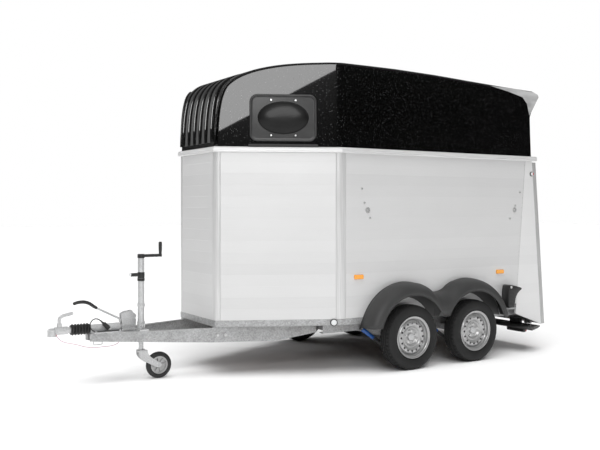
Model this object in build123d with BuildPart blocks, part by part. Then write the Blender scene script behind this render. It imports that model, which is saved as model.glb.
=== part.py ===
"""Two-stall livestock trailer on a braked tandem chassis.

Frame: -X is the front with the drawbar, +X the rear with the loading ramp, +Z is up and the
ground is Z = 0. The trailer is symmetric about Y = 0, and its left side is -Y.
The origin is below the middle of the whole trailer, on the ground. Sizes are in millimetres.
"""

import os
from math import atan2, cos, pi, radians, sin, tan

from build123d import *

os.makedirs("parts", exist_ok=True)

# Overall
HALF_LENGTH = 2501  # from the middle to the coupling tip and to the ramp's lower edge
BODY_HALF_WIDTH = 878  # outer face of the side walls
NOSE_X = -1147  # outer face of the flat front wall
NOSE_HALF_WIDTH = 376  # where the flat front wall meets the slanted ones
SHOULDER_X = -142  # where the slanted front walls meet the side walls
WALL = 24  # thickness of the plank walls

# Heights of the body
RAIL_LOW = 446  # underside of the zinc base rail and of the floor deck
RAIL_HIGH = 503  # top of the base rail, where the planks start
TRIM_LOW = 1990  # underside of the trim strip below the hood
TRIM_HIGH = 2038
ROOF_Z = 2800
DECK = 22  # thickness of the floor deck
MAT = 8  # thickness of the rubber mat

# Rear end: the ramp stands on a slope, its foot further back than its head
CHEEK_TOP_X = 2309  # rear edge of the cheeks at the trim
CHEEK_LOW_X = 2446  # rear edge of the cheeks at their lowest point
CHEEK_LOW_Z = 261
SEAM_TOP_X = 2205  # seam between the plank wall and the cheek, at the trim
SEAM_LOW_X = 2063
SEAM_LOW_Z = 399
RAMP_TOP_Z = 1976
RAMP_LOW_Z = 266
HINGE = (2440, 262)  # X and Z of the ramp's hinge line

# Running gear
AXLE_MID_X = 950
AXLE_GAP = 780
TYRE_R = 300
TYRE_WIDTH = 158
WHEEL_FACE_Y = BODY_HALF_WIDTH + 170  # outer face of the tyres
RIM_SEAT_R = 178
FLANGE_R = 195
BEARING_R = 17  # stub axle under the hub
RUN = 0.05  # radial running clearance of every bearing
PAST_SIDE = BODY_HALF_WIDTH + 222  # cutters reach this far out, clear of the whole side
ARM_LENGTH = 150  # from the torsion tube to the stub axle, along X
PIVOT_Z = 325  # height of the torsion tubes
TORSION_R = 20  # inner bar of the torsion axle
TUBE_SIDE = 60  # square section of the torsion tubes
TUBE_HALF = BODY_HALF_WIDTH - 78  # the tubes end here, on both sides
RAIL_Y = (BODY_HALF_WIDTH - 178, BODY_HALF_WIDTH - 118)
RAIL_Z = (366, RAIL_LOW)

# Dampers, in a plane beside the chassis rails; both ends are given from the torsion tube's middle
DAMPER_Y = RAIL_Y[1] + 24
DAMPER_TOP = (-263, 384)
DAMPER_FOOT = (-10, 210)
DAMPER_PIN_R = 6
DAMPER_EYE = 22  # width of the eyes

# Drawbar and coupling
ARM_FRONT_X = -2164
ARM_FRONT_Y = 60
ARM_AT_NOSE_Y = 350
ARM_END_X = -234
ARM_FLANGE = 40
ARM_PLATE = 5
ARM_TOP = 433.2  # top flange ahead of the body; the housing and the jockey clamp stand on it
SHAFT_R = 25  # draw shaft
SHAFT_Z = 466
SOCKET_R = 25.5  # takes a 50 mm ball
SOCKET_DEPTH = 42

# Jockey wheel
JOCKEY_X = -1726
JOCKEY_Y = -105
JOCKEY_TUBE_R = 24
JOCKEY_STEM_R = 20.5
JOCKEY_WHEEL_R = 115
JOCKEY_TRAIL = 162
JOCKEY_WIDTH = 50

# Mudguards
GUARD_R = 505  # top of the arches at the wall
LIP_R = 392  # edge of the arches above the tyres
GUARD_Y = BODY_HALF_WIDTH + 182
GUARD_WALL = 4

RAMP_THICK = HALF_LENGTH - CHEEK_LOW_X + (RAMP_LOW_Z - CHEEK_LOW_Z) / (RAMP_TOP_Z - CHEEK_LOW_Z) * (
    CHEEK_LOW_X - CHEEK_TOP_X
)
SLANT = atan2(BODY_HALF_WIDTH - NOSE_HALF_WIDTH, SHOULDER_X - NOSE_X)
SLANT_LENGTH = (SHOULDER_X - NOSE_X) / cos(SLANT)
WHEEL_XS = {"front": AXLE_MID_X - AXLE_GAP / 2, "rear": AXLE_MID_X + AXLE_GAP / 2}
SIDES = {"left": -1, "right": 1}


def save(part, name):
    """Labels a finished piece and writes it to its own STEP file."""
    part.label = name
    export_step(part, f"parts/{name}.step")


def block(x, y, z, mode=Mode.ADD):
    """A box given by its lowest and highest X, Y and Z, inside the open part."""
    with Locations(((x[0] + x[1]) / 2, (y[0] + y[1]) / 2, (z[0] + z[1]) / 2)):
        Box(x[1] - x[0], y[1] - y[0], z[1] - z[0], mode=mode)


def plate_xz(points, y, mode=Mode.ADD):
    """A flat plate with an outline in X and Z, between two values of Y."""
    with BuildSketch(Plane(origin=(0, y[0], 0), x_dir=(1, 0, 0), z_dir=(0, -1, 0))) as outline:
        Polygon(*points, align=None)
    extrude(outline.sketch, amount=y[0] - y[1], mode=mode)


def plate_xy(points, z, mode=Mode.ADD):
    """A flat plate with an outline in X and Y, between two heights."""
    with BuildSketch(Plane.XY.offset(z[0])) as outline:
        Polygon(*points, align=None)
    extrude(outline.sketch, amount=z[1] - z[0], mode=mode)


def rod(start, end, radius, mode=Mode.ADD):
    """A round bar from one point to another."""
    line = Vector(*end) - Vector(*start)
    with BuildSketch(Plane(origin=start, z_dir=line)) as section:
        Circle(radius)
    extrude(section.sketch, amount=line.length, mode=mode)


def disc_y(x, y, z, radius, mode=Mode.ADD):
    """A round disc with its axis along Y, between two values of Y."""
    rod((x, y[0], z), (x, y[1], z), radius, mode)


def body_outline(inset, rear_x):
    """Corners of the body seen from above, moved inwards, with a straight rear end."""
    nose_y = NOSE_HALF_WIDTH - inset * tan((pi / 2 - SLANT) / 2)
    side_y = BODY_HALF_WIDTH - inset
    shoulder_x = SHOULDER_X + inset * tan(SLANT / 2)
    half = [(NOSE_X + inset, -nose_y), (shoulder_x, -side_y), (rear_x, -side_y)]
    return half + [(x, -y) for x, y in reversed(half)]


def rear_line(z, offset=0):
    """X of the cheeks' rear edge, which is the ramp's inner face, at a height."""
    share = (z - CHEEK_LOW_Z) / (RAMP_TOP_Z - CHEEK_LOW_Z)
    return CHEEK_LOW_X + share * (CHEEK_TOP_X - CHEEK_LOW_X) + offset


def seam_line(z, offset=0):
    """X of the seam between the plank wall and the cheek, at a height."""
    share = (z - SEAM_LOW_Z) / (RAMP_TOP_Z - SEAM_LOW_Z)
    return SEAM_LOW_X + share * (SEAM_TOP_X - SEAM_LOW_X) + offset


def arm_y(x):
    """Distance of a drawbar arm's outer web from the middle, at a value of X."""
    share = (x - ARM_FRONT_X) / (NOSE_X - ARM_FRONT_X)
    return ARM_FRONT_Y + share * (ARM_AT_NOSE_Y - ARM_FRONT_Y)


# ---------------------------------------------------------------- chassis
with BuildPart() as chassis_rails:
    with BuildSketch(Plane.YZ.offset(-260)):
        with Locations((-sum(RAIL_Y) / 2, sum(RAIL_Z) / 2)):
            Rectangle(RAIL_Y[1] - RAIL_Y[0], RAIL_Z[1] - RAIL_Z[0])
        with Locations((-sum(RAIL_Y) / 2 + ARM_PLATE, sum(RAIL_Z) / 2)):
            Rectangle(RAIL_Y[1] - RAIL_Y[0], RAIL_Z[1] - RAIL_Z[0] - 2 * ARM_PLATE, mode=Mode.SUBTRACT)
    extrude(amount=260 + 2375)
    for wheel_x in WHEEL_XS.values():
        x, z = wheel_x - ARM_LENGTH + DAMPER_TOP[0], DAMPER_TOP[1]
        disc_y(x, (-RAIL_Y[1] + 1, -DAMPER_Y - DAMPER_EYE / 2 - 3), z, DAMPER_PIN_R)
    mirror(about=Plane.XZ)
save(chassis_rails.part, "chassis_rails")

CROSS_XS = [-200, 200, 600, 1000, 1400, 1800, 2180]
SILL_X = (2376, 2418)
SILL_LOW = 300
HINGE_YS = (-700, 0, 700)
LUG = 36  # width of each fixed hinge lug
KNUCKLE_R = 14
PIN_R = 8
with BuildPart() as cross_members:
    for x in CROSS_XS:
        block((x - 20, x + 20), (-RAIL_Y[0], RAIL_Y[0]), (RAIL_LOW - 60, RAIL_LOW))
        block((x - 14, x + 20), (-RAIL_Y[0], RAIL_Y[0]), (RAIL_LOW - 54, RAIL_LOW - 6), Mode.SUBTRACT)
    sill_y = BODY_HALF_WIDTH - WALL - 1
    block(SILL_X, (-sill_y, sill_y), (SILL_LOW, RAIL_LOW))
    block((SILL_X[0], SILL_X[1] - 6), (-sill_y, sill_y), (SILL_LOW + 6, RAIL_LOW - 6), Mode.SUBTRACT)
    for y in HINGE_YS:
        block((SILL_X[1] - 6, HINGE[0]), (y - LUG / 2, y + LUG / 2), (HINGE[1] - 10, SILL_LOW + 20))
        disc_y(HINGE[0], (y - LUG / 2, y + LUG / 2), HINGE[1], KNUCKLE_R)
        disc_y(HINGE[0], (y - LUG / 2 - 26, y + LUG / 2 + 26), HINGE[1], PIN_R)
save(cross_members.part, "cross_members")


def drawbar_arm(side):
    """One folded drawbar arm: an outer web with flanges that face the middle."""
    angle = atan2(ARM_AT_NOSE_Y - ARM_FRONT_Y, NOSE_X - ARM_FRONT_X)
    along = lambda x: (x - ARM_FRONT_X) / cos(angle)
    web = Plane(
        origin=(ARM_FRONT_X, -ARM_FRONT_Y, 0),
        x_dir=(cos(angle), -sin(angle), 0),
        z_dir=(-sin(angle), -cos(angle), 0),
    )
    outline = [
        (0, 363), (0, ARM_TOP - 12), (20, ARM_TOP), (along(NOSE_X - 5), ARM_TOP), (along(NOSE_X - 5), RAIL_LOW - 0.5),
        (along(ARM_END_X), RAIL_LOW - 0.5), (along(ARM_END_X), 358), (along(-600), 297), (along(NOSE_X), 308),
    ]
    with BuildPart() as arm:
        with BuildSketch(web):
            with BuildLine():
                Polyline(*outline, close=True)
            make_face()
        extrude(amount=-ARM_FLANGE)
        with BuildSketch(web.offset(-ARM_PLATE)):
            with BuildLine():
                Polyline(*outline, close=True)
            make_face()
            offset(amount=-ARM_PLATE, kind=Kind.INTERSECTION, mode=Mode.REPLACE)
        extrude(amount=-ARM_FLANGE, mode=Mode.SUBTRACT)
        if side > 0:
            mirror(about=Plane.XZ, mode=Mode.REPLACE)
    return arm.part


for side_name, side in SIDES.items():
    save(drawbar_arm(side), f"drawbar_arm_{side_name}")

with BuildPart() as floor_deck:
    plate_xy(body_outline(WALL + 12, SILL_X[1]), (RAIL_LOW, RAIL_LOW + DECK))
save(floor_deck.part, "floor_deck")

with BuildPart() as floor_mat:
    plate_xy(body_outline(WALL + 13, SILL_X[1] - 6), (RAIL_LOW + DECK, RAIL_LOW + DECK + MAT))
save(floor_mat.part, "floor_mat")

# ---------------------------------------------------------------- base rails, walls, posts, trim
POST_REACH = 50  # how far a corner post covers each wall, from the corner
FIT = 0.3  # gap between pieces that lie against each other


def band(outset, inset, z, rear_x):
    """A closed band that follows the body's sides and front, with the rear end left open."""
    plate_xy(body_outline(-outset, rear_x), z)
    plate_xy(body_outline(inset, rear_x + 100), z, Mode.SUBTRACT)


def corner_cut(inset, gap, z):
    """Cuts a band at the body's four front corners, square to the bisector of each corner."""
    outer = body_outline(-60, 0)
    inner = body_outline(inset + 60, 0)
    for corner in (0, 1, 4, 5):
        start = Vector(*outer[corner], 0)
        line = Vector(*inner[corner], 0) - start
        plane = Plane(origin=(start.X, start.Y, z[0] - 1), x_dir=line, z_dir=(0, 0, 1))
        with BuildSketch(plane) as slit:
            Rectangle(line.length, gap, align=(Align.MIN, Align.CENTER))
        extrude(slit.sketch, amount=z[1] - z[0] + 2, mode=Mode.SUBTRACT)


with BuildPart() as base_rails:
    band(0, WALL + 12 - FIT, (RAIL_LOW, RAIL_HIGH), SEAM_LOW_X - 4)
    corner_cut(WALL + 12, FIT, (RAIL_LOW, RAIL_HIGH))
save(base_rails.part, "base_rails")

with BuildPart() as top_trim:
    band(22, WALL, (TRIM_LOW, TRIM_HIGH), rear_line(TRIM_LOW, RAMP_THICK - 4))
    corner_cut(WALL, FIT, (TRIM_LOW, TRIM_HIGH))
    header_y = BODY_HALF_WIDTH - WALL - FIT
    block((2255, rear_line(TRIM_LOW, RAMP_THICK - 4)), (-header_y, header_y), (TRIM_LOW, TRIM_HIGH))
save(top_trim.part, "top_trim")

WALL_Z = (RAIL_HIGH, TRIM_LOW)
WALL_REAR_X = 2400


def corner_columns(radius, z, mode):
    """Round columns that stand on the four front corners."""
    corners = [body_outline(0, 0)[i] for i in (0, 1, 4, 5)]
    for x, y in corners:
        rod((x, y, z[0]), (x, y, z[1]), radius, mode)


with BuildPart() as front_walls:
    band(0, WALL, WALL_Z, WALL_REAR_X)
    corner_columns(POST_REACH, WALL_Z, Mode.SUBTRACT)
    block((SHOULDER_X, WALL_REAR_X + 1), (-PAST_SIDE, PAST_SIDE), WALL_Z, Mode.SUBTRACT)
save(front_walls.part, "front_walls")

with BuildPart() as side_walls:
    band(0, WALL, WALL_Z, WALL_REAR_X)
    corner_columns(POST_REACH, WALL_Z, Mode.SUBTRACT)
    block((NOSE_X - 1, SHOULDER_X), (-PAST_SIDE, PAST_SIDE), WALL_Z, Mode.SUBTRACT)
    behind = [(seam_line(WALL_Z[0], -2), WALL_Z[0]), (seam_line(WALL_Z[1], -2), WALL_Z[1])]
    behind += [(WALL_REAR_X + 1, WALL_Z[1]), (WALL_REAR_X + 1, WALL_Z[0])]
    plate_xz(behind, (PAST_SIDE, -PAST_SIDE), Mode.SUBTRACT)
save(side_walls.part, "side_walls")

with BuildPart() as post_columns:
    corner_columns(POST_REACH - FIT, WALL_Z, Mode.ADD)

with BuildPart() as corner_posts:
    band(3, WALL + 2, WALL_Z, WALL_REAR_X)
    add(post_columns.part, mode=Mode.INTERSECT)
save(corner_posts.part, "corner_posts")

with BuildPart() as rear_cheeks:
    cheek_top = TRIM_LOW - FIT
    outline = [
        (seam_line(cheek_top, 1), cheek_top), (seam_line(SEAM_LOW_Z, 1), SEAM_LOW_Z),
        (rear_line(CHEEK_LOW_Z), CHEEK_LOW_Z), (rear_line(cheek_top), cheek_top),
    ]
    plate_xz(outline, (-BODY_HALF_WIDTH + WALL, -BODY_HALF_WIDTH))
    mirror(about=Plane.XZ)
save(rear_cheeks.part, "rear_cheeks")

# ---------------------------------------------------------------- hood and windows
HOOD_WALL = 6
HOOD_INSET = 4  # the hood stands back from the wall plane
HOOD_REAR = [(2296, TRIM_HIGH), (2274, ROOF_Z - 334), (2414, ROOF_Z - 131)]  # rear edge with the spoiler's tip
WINDOW = (598, 420)
PORT = (448, 284)  # elliptical port behind each window
WINDOW_ALONG = 603  # from the nose corner to the window's middle, along the slanted wall
WINDOW_Z = TRIM_HIGH + 256
STUD_SPACING = (218, 313)


def hood_side(inset):
    """Side view of the hood: sloping nose, long flat roof and the rear spoiler."""
    low = TRIM_HIGH if inset == 0 else TRIM_HIGH - 10
    start = (NOSE_X + HOOD_INSET + inset, low)
    top = ROOF_Z - inset
    nose = [(-1128 + inset, ROOF_Z - 449), (-1067 + inset, top - 200), (-819, top - 81)]
    roof = [(-475, top - 12), (-235, top), (490, top), (1461, top - 36)]
    tail = [(2330, top - 69), (2411 - inset, top - 100)]
    rear = [(x - inset, z) for x, z in reversed(HOOD_REAR)]
    if inset:
        tail = [(2420, top - 75)]
        rear = [(2420, low)]
    return [start] + nose + roof + tail + rear


def hood_form(inset):
    """The hood as a filled form: its side view, inside the body's outline seen from above."""
    low, high = TRIM_HIGH - 20, ROOF_Z + 20
    with BuildPart() as form:
        plate_xz(hood_side(inset), (PAST_SIDE, -PAST_SIDE))
        with BuildSketch(Plane.XY.offset(low)) as outline:
            Polygon(*body_outline(HOOD_INSET + inset, 2500), align=None)
        extrude(outline.sketch, amount=high - low, mode=Mode.INTERSECT)
    return form.part


def slant_plane(side, along, z, out):
    """A plane on a slanted front wall: local x runs rearwards, z points outwards."""
    foot = Vector(NOSE_X, side * NOSE_HALF_WIDTH, 0)
    back = Vector(cos(SLANT), side * sin(SLANT), 0)
    normal = Vector(-sin(SLANT), side * cos(SLANT), 0)
    point = foot + back * along + normal * out
    return Plane(origin=(point.X, point.Y, z), x_dir=back, z_dir=normal)


HOOD_FORM = hood_form(0)
HOOD_HOLLOW = hood_form(HOOD_WALL)
with BuildPart() as hood:
    add(HOOD_FORM)
    add(HOOD_HOLLOW, mode=Mode.SUBTRACT)
    for side in SIDES.values():
        with BuildSketch(slant_plane(side, WINDOW_ALONG, WINDOW_Z, -60)) as port:
            Ellipse(PORT[0] / 2, PORT[1] / 2)
        extrude(port.sketch, amount=120, mode=Mode.SUBTRACT)
save(hood.part, "hood")

with BuildPart() as window_panes:
    for side in SIDES.values():
        with BuildSketch(slant_plane(side, WINDOW_ALONG, WINDOW_Z, -HOOD_INSET)) as pane:
            RectangleRounded(*WINDOW, 70)
            with GridLocations(*STUD_SPACING, 2, 2):
                Circle(4, mode=Mode.SUBTRACT)
        extrude(pane.sketch, amount=16, taper=8)
save(window_panes.part, "window_panes")

# ---------------------------------------------------------------- fixing plates and fasteners
BAR_Z = 1475
BAR_XS = {"breast": 150, "rump": 2046}
BAR_BOLTS = {"breast": [(-64, 195), (-38, 68), (28, -71)], "rump": [(78, 184), (9, 46), (-68, -88)]}
ARM_BOLTS = [(-1117, 372), (-1050, 372)]
ARM_BOLT_OUT = 4  # the bolt heads' inner faces lie this far outside the slanted webs' nominal line

with BuildPart() as fasteners:
    for side in SIDES.values():
        for x_off in (-STUD_SPACING[0] / 2, STUD_SPACING[0] / 2):
            for z_off in (-STUD_SPACING[1] / 2, STUD_SPACING[1] / 2):
                with BuildSketch(slant_plane(side, WINDOW_ALONG + x_off, WINDOW_Z + z_off, -HOOD_INSET)) as shank:
                    Circle(4)
                extrude(shank.sketch, amount=16)
                with BuildSketch(slant_plane(side, WINDOW_ALONG + x_off, WINDOW_Z + z_off, 12)) as head:
                    Circle(10)
                extrude(head.sketch, amount=7, taper=20)
        face = side * BODY_HALF_WIDTH
        for name, bar_x in BAR_XS.items():
            disc_y(bar_x, (face, face + side * 4), BAR_Z, 26)
            disc_y(bar_x, (face + side * 4, face + side * 12), BAR_Z, 9)
            for dx, dz in BAR_BOLTS[name]:
                disc_y(bar_x + dx, (face, face + side * 7), BAR_Z + dz, 9)
        for x, z in ARM_BOLTS:
            web_y = side * arm_y(x)
            disc_y(x, (web_y + side * ARM_BOLT_OUT, web_y + side * (ARM_BOLT_OUT + 12)), z, 13)
save(fasteners.part, "fasteners")

# ---------------------------------------------------------------- lamps
with BuildPart() as side_marker_lamps:
    for side in SIDES.values():
        face = side * BODY_HALF_WIDTH
        for x, z in ((48, 870), (1831, 845)):
            with BuildSketch(Plane(origin=(x, face, z), x_dir=(1, 0, 0), z_dir=(0, side, 0))) as lens:
                RectangleRounded(100, 43, 7)
            extrude(lens.sketch, amount=14, taper=12)
save(side_marker_lamps.part, "side_marker_lamps")

# ---------------------------------------------------------------- light tray and rear lamps
TRAY_Z = (238, 250)
TRAY_REAR_X = 2420
with BuildPart() as light_tray:
    rear_y = BODY_HALF_WIDTH + 9
    half = [(2128, -BODY_HALF_WIDTH - 164), (2300, -BODY_HALF_WIDTH - 82), (TRAY_REAR_X, -rear_y)]
    tray = half + [(x, -y) for x, y in reversed(half)]
    plate_xy(tray, TRAY_Z)
    for side in SIDES.values():
        # hangers up to the rear sill
        block((SILL_X[0], SILL_X[1]), sorted((side * 500, side * 640)), (TRAY_Z[1], SILL_LOW))
save(light_tray.part, "light_tray")

CLEARANCE_Z = 1854
with BuildPart() as lamps:
    for side in SIDES.values():
        # round position lamps at the front shoulders, each in a ring
        front = slant_plane(side, SLANT_LENGTH - 68, 474, 0)
        with BuildSketch(front) as ring:
            Circle(33)
            Circle(27, mode=Mode.SUBTRACT)
        extrude(ring.sketch, amount=16)
        with BuildSketch(front) as lens:
            Circle(27)
        extrude(lens.sketch, amount=20, taper=15)
        # round clearance lamps at the top of the cheeks
        x = rear_line(CLEARANCE_Z) - 22
        disc_y(x, (side * BODY_HALF_WIDTH, side * (BODY_HALF_WIDTH + 22)), CLEARANCE_Z, 24)
        # lamp clusters below the tray
        block((2350, 2408), sorted((side * 480, side * 720)), (160, TRAY_Z[0]))
save(lamps.part, "lamps")

# ---------------------------------------------------------------- running gear
with BuildPart() as axle_tubes:
    for wheel_x in WHEEL_XS.values():
        x = wheel_x - ARM_LENGTH
        half = TUBE_SIDE / 2
        block((x - half, x + half), (-TUBE_HALF, TUBE_HALF), (PIVOT_Z - half, PIVOT_Z + half))
        for side in SIDES.values():
            block((x - 70, x + 70), sorted((side * RAIL_Y[0], side * RAIL_Y[1])), (PIVOT_Z + half, RAIL_Z[0]))
            disc_y(x, (side * 700, side * TUBE_HALF), PIVOT_Z, TORSION_R + RUN, Mode.SUBTRACT)
save(axle_tubes.part, "axle_tubes")

ARM_FACE = TUBE_HALF + 2  # inner face of the swing arms
STUB_END = WHEEL_FACE_Y - 68


def swing_arm(wheel_x, side):
    """Trailing arm with its torsion bar, stub axle, brake plate and the damper's lug."""
    x = wheel_x - ARM_LENGTH
    face = side * ARM_FACE
    with BuildPart() as arm:
        disc_y(x, (side * 705, face), PIVOT_Z, TORSION_R)
        disc_y(x, (face, side * (ARM_FACE + 40)), PIVOT_Z, 42)
        disc_y(wheel_x, (side * (ARM_FACE + 6), side * (ARM_FACE + 40)), TYRE_R, 34)
        beam = [(x, PIVOT_Z + 38), (wheel_x, TYRE_R + 30), (wheel_x, TYRE_R - 30), (x, PIVOT_Z - 38)]
        plate_xz(beam, sorted((side * (ARM_FACE + 6), side * (ARM_FACE + 38)), reverse=True))
        foot_x = x + DAMPER_FOOT[0]
        lug = [(x - 34, PIVOT_Z), (foot_x - 16, DAMPER_FOOT[1] - 6), (foot_x + 16, DAMPER_FOOT[1] - 6), (x + 34, PIVOT_Z)]
        plate_xz(lug, sorted((side * (ARM_FACE + 4), side * (ARM_FACE + 14)), reverse=True))
        disc_y(foot_x, (side * (DAMPER_Y - DAMPER_EYE / 2 - 3), side * (ARM_FACE + 6)), DAMPER_FOOT[1], DAMPER_PIN_R)
        disc_y(wheel_x, (side * (ARM_FACE + 38), side * STUB_END), TYRE_R, BEARING_R)
        disc_y(wheel_x, (side * (ARM_FACE + 44), side * (ARM_FACE + 50)), TYRE_R, 116)
    return arm.part


def damper(wheel_x, side):
    """Telescopic damper: the upper tube slides over the lower one, and each end has an eye."""
    x = wheel_x - ARM_LENGTH
    top = Vector(x + DAMPER_TOP[0], side * DAMPER_Y, DAMPER_TOP[1])
    foot = Vector(x + DAMPER_FOOT[0], side * DAMPER_Y, DAMPER_FOOT[1])
    line = (foot - top).normalized()
    length = (foot - top).length
    eye = (side * (DAMPER_Y - DAMPER_EYE / 2), side * (DAMPER_Y + DAMPER_EYE / 2))
    with BuildPart() as upper:
        rod(tuple(top + line * 10), tuple(top + line * 165), 20)
        rod(tuple(top + line * 60), tuple(top + line * 166), 17.3, Mode.SUBTRACT)
        disc_y(top.X, eye, top.Z, 15)
        disc_y(top.X, eye, top.Z, DAMPER_PIN_R + RUN, Mode.SUBTRACT)
    with BuildPart() as lower:
        rod(tuple(top + line * 85), tuple(top + line * (length - 10)), 17)
        disc_y(foot.X, eye, foot.Z, 15)
        disc_y(foot.X, eye, foot.Z, DAMPER_PIN_R + RUN, Mode.SUBTRACT)
    return Compound([upper.part.solid(), lower.part.solid()])


def revolve_wheel(section, wheel_x, side):
    """Turns a section, given as distance outwards from the tyre's inner face and radius, about the axle."""
    inner = side * (WHEEL_FACE_Y - TYRE_WIDTH)
    plane = Plane(origin=(wheel_x, inner, TYRE_R), x_dir=(0, side, 0), z_dir=(side, 0, 0))
    with BuildPart() as ring:
        with BuildSketch(plane) as outline:
            Polygon(*section, align=None)
        revolve(outline.sketch, axis=Axis((wheel_x, inner, TYRE_R), (0, 1, 0)))
    return ring.part


def both_edges(points):
    """Completes a section with its mirror image about the middle of the tyre."""
    return points + [(TYRE_WIDTH - t, r) for t, r in reversed(points)]


TREAD = TYRE_R - 10
TYRE_SECTION = both_edges([(16.5, RIM_SEAT_R), (16.5, 197), (6, 203), (0, 240), (7, 283), (28, TYRE_R - 2), (60, TYRE_R)])
TYRE_SECTION += [(128, RIM_SEAT_R), (130, 200), (148, 240), (140, 278), (124, TREAD)]
TYRE_SECTION += [(34, TREAD), (18, 278), (10, 240), (28, 200), (30, RIM_SEAT_R)]
RIM_OUTSIDE = [(8, FLANGE_R), (14, FLANGE_R), (16, RIM_SEAT_R), (45, RIM_SEAT_R), (55, 165)]
RIM_INSIDE = [(53, 159), (43, 172), (10, 172)]
RIM_SECTION = both_edges(RIM_OUTSIDE) + [(TYRE_WIDTH - t, r) for t, r in reversed(RIM_INSIDE)] + RIM_INSIDE
DISC_SECTION = [(98, 160), (104, 160), (124, 142), (127, 124), (116, 96), (97, 84), (97, 34), (92, 34), (92, 82), (111, 98), (122, 124), (119, 140)]
VENTS = 16
VENT_R = (128, 10)
LUG_R = 56


def rim(wheel_x, side):
    """Steel rim with vent holes, hub with brake drum and cap, and five wheel bolts."""
    inner = side * (WHEEL_FACE_Y - TYRE_WIDTH)
    out = lambda t: inner + side * t
    with BuildPart() as pressed:
        add(revolve_wheel(RIM_SECTION, wheel_x, side))
        add(revolve_wheel(DISC_SECTION, wheel_x, side))
        for i in range(VENTS):
            turn = 2 * pi * i / VENTS
            x, z = wheel_x + VENT_R[0] * cos(turn), TYRE_R + VENT_R[0] * sin(turn)
            disc_y(x, (out(105), out(135)), z, VENT_R[1], Mode.SUBTRACT)
    with BuildPart() as hub:
        disc_y(wheel_x, (out(-28), out(20)), TYRE_R, 112)
        disc_y(wheel_x, (out(20), out(92)), TYRE_R, 78)
        disc_y(wheel_x, (out(92), out(118)), TYRE_R, 33)
        disc_y(wheel_x, (out(-29), side * (STUB_END + 1)), TYRE_R, BEARING_R + RUN, Mode.SUBTRACT)
    bolts = []
    for i in range(5):
        turn = 2 * pi * i / 5 + pi / 2
        x, z = wheel_x + LUG_R * cos(turn), TYRE_R + LUG_R * sin(turn)
        with BuildPart() as bolt:
            disc_y(x, (out(97), out(111)), z, 11)
        bolts.append(bolt.part.solid())
    return Compound([pressed.part.solid(), hub.part.solid()] + bolts)


for axle, wheel_x in WHEEL_XS.items():
    for side_name, side in SIDES.items():
        save(swing_arm(wheel_x, side), f"swing_arm_{axle}_{side_name}")
        save(damper(wheel_x, side), f"damper_{axle}_{side_name}")
        save(revolve_wheel(TYRE_SECTION, wheel_x, side), f"tyre_{axle}_{side_name}")
        save(rim(wheel_x, side), f"rim_{axle}_{side_name}")

# ---------------------------------------------------------------- mudguards
GUARD_INNER_Y = BODY_HALF_WIDTH + FIT
GUARD_LOW_Z = 405
SKIRT_LOW_Z = 475  # lower edge of the skirt between the wheels
SADDLE_Z = 690
GUARD_SECTION = [
    (GUARD_INNER_Y, GUARD_R), (GUARD_Y - 30, GUARD_R - 35), (GUARD_Y, GUARD_R - 70), (GUARD_Y, LIP_R),
    (GUARD_Y - GUARD_WALL, LIP_R), (GUARD_Y - GUARD_WALL, GUARD_R - 72), (GUARD_Y - 32, GUARD_R - 39),
    (GUARD_INNER_Y, GUARD_R - GUARD_WALL),
]


def guard_arch(wheel_x, cut_x):
    """One arch of a left mudguard over a wheel, cut off at the middle of the tandem."""
    with BuildPart() as arch:
        plane = Plane(origin=(wheel_x, 0, TYRE_R), x_dir=(0, -1, 0), z_dir=(-1, 0, 0))
        with BuildSketch(plane) as outline:
            Polygon(*GUARD_SECTION, align=None)
        revolve(outline.sketch, axis=Axis((wheel_x, 0, TYRE_R), (0, 1, 0)))
        block((wheel_x - 600, wheel_x + 600), (-PAST_SIDE, -TUBE_HALF), (-300, GUARD_LOW_Z), Mode.SUBTRACT)
        block(sorted((AXLE_MID_X, cut_x)), (-PAST_SIDE, -TUBE_HALF), (0, 1000), Mode.SUBTRACT)
    return arch.part


with BuildPart() as fenders:
    add(guard_arch(WHEEL_XS["front"], AXLE_MID_X + 700))
    add(guard_arch(WHEEL_XS["rear"], AXLE_MID_X - 700))
    block((AXLE_MID_X - 135, AXLE_MID_X + 135), (30 - GUARD_Y, -GUARD_INNER_Y), (SADDLE_Z - 6, SADDLE_Z))
    block((AXLE_MID_X - 130, AXLE_MID_X + 130), (-GUARD_Y, -GUARD_Y + GUARD_WALL), (SKIRT_LOW_Z, 640))
    block((AXLE_MID_X - 150, AXLE_MID_X + 150), (-PAST_SIDE, -TUBE_HALF), (300, SKIRT_LOW_Z), Mode.SUBTRACT)
    mirror(about=Plane.XZ)
save(fenders.part, "fenders")

# ---------------------------------------------------------------- wheel chocks
CHOCK_Y = (BODY_HALF_WIDTH + 6, BODY_HALF_WIDTH + 100)
CHOCK = [
    (1862, RAIL_HIGH - 23), (1855, 600), (1862, 700), (1900, 712),
    (2050, 668), (1985, 620), (1955, 560), (1945, RAIL_HIGH - 23),
]
with BuildPart() as holder:
    block((1872, 1990), (-BODY_HALF_WIDTH - 5, -BODY_HALF_WIDTH - FIT), (RAIL_HIGH + 4, 700))
    block((1872, 1960), (-CHOCK_Y[1], -BODY_HALF_WIDTH - 4), (RAIL_HIGH - 28, RAIL_HIGH - 24))
    block((1872, 1960), (-BODY_HALF_WIDTH - 5, -BODY_HALF_WIDTH - FIT), (RAIL_HIGH - 28, RAIL_HIGH + 5))
    disc_y(1894, (-BODY_HALF_WIDTH - 4, -CHOCK_Y[1] - 8), 690, 8)
with BuildPart() as chock:
    plate_xz(CHOCK, (-CHOCK_Y[0], -CHOCK_Y[1]))
    disc_y(1894, (-TUBE_HALF, -PAST_SIDE), 690, 8 + FIT, Mode.SUBTRACT)
chock_set = [holder.part.solid(), chock.part.solid()]
chock_set += [piece.mirror(Plane.XZ) for piece in chock_set]
save(Compound(chock_set), "wheel_chocks")

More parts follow.
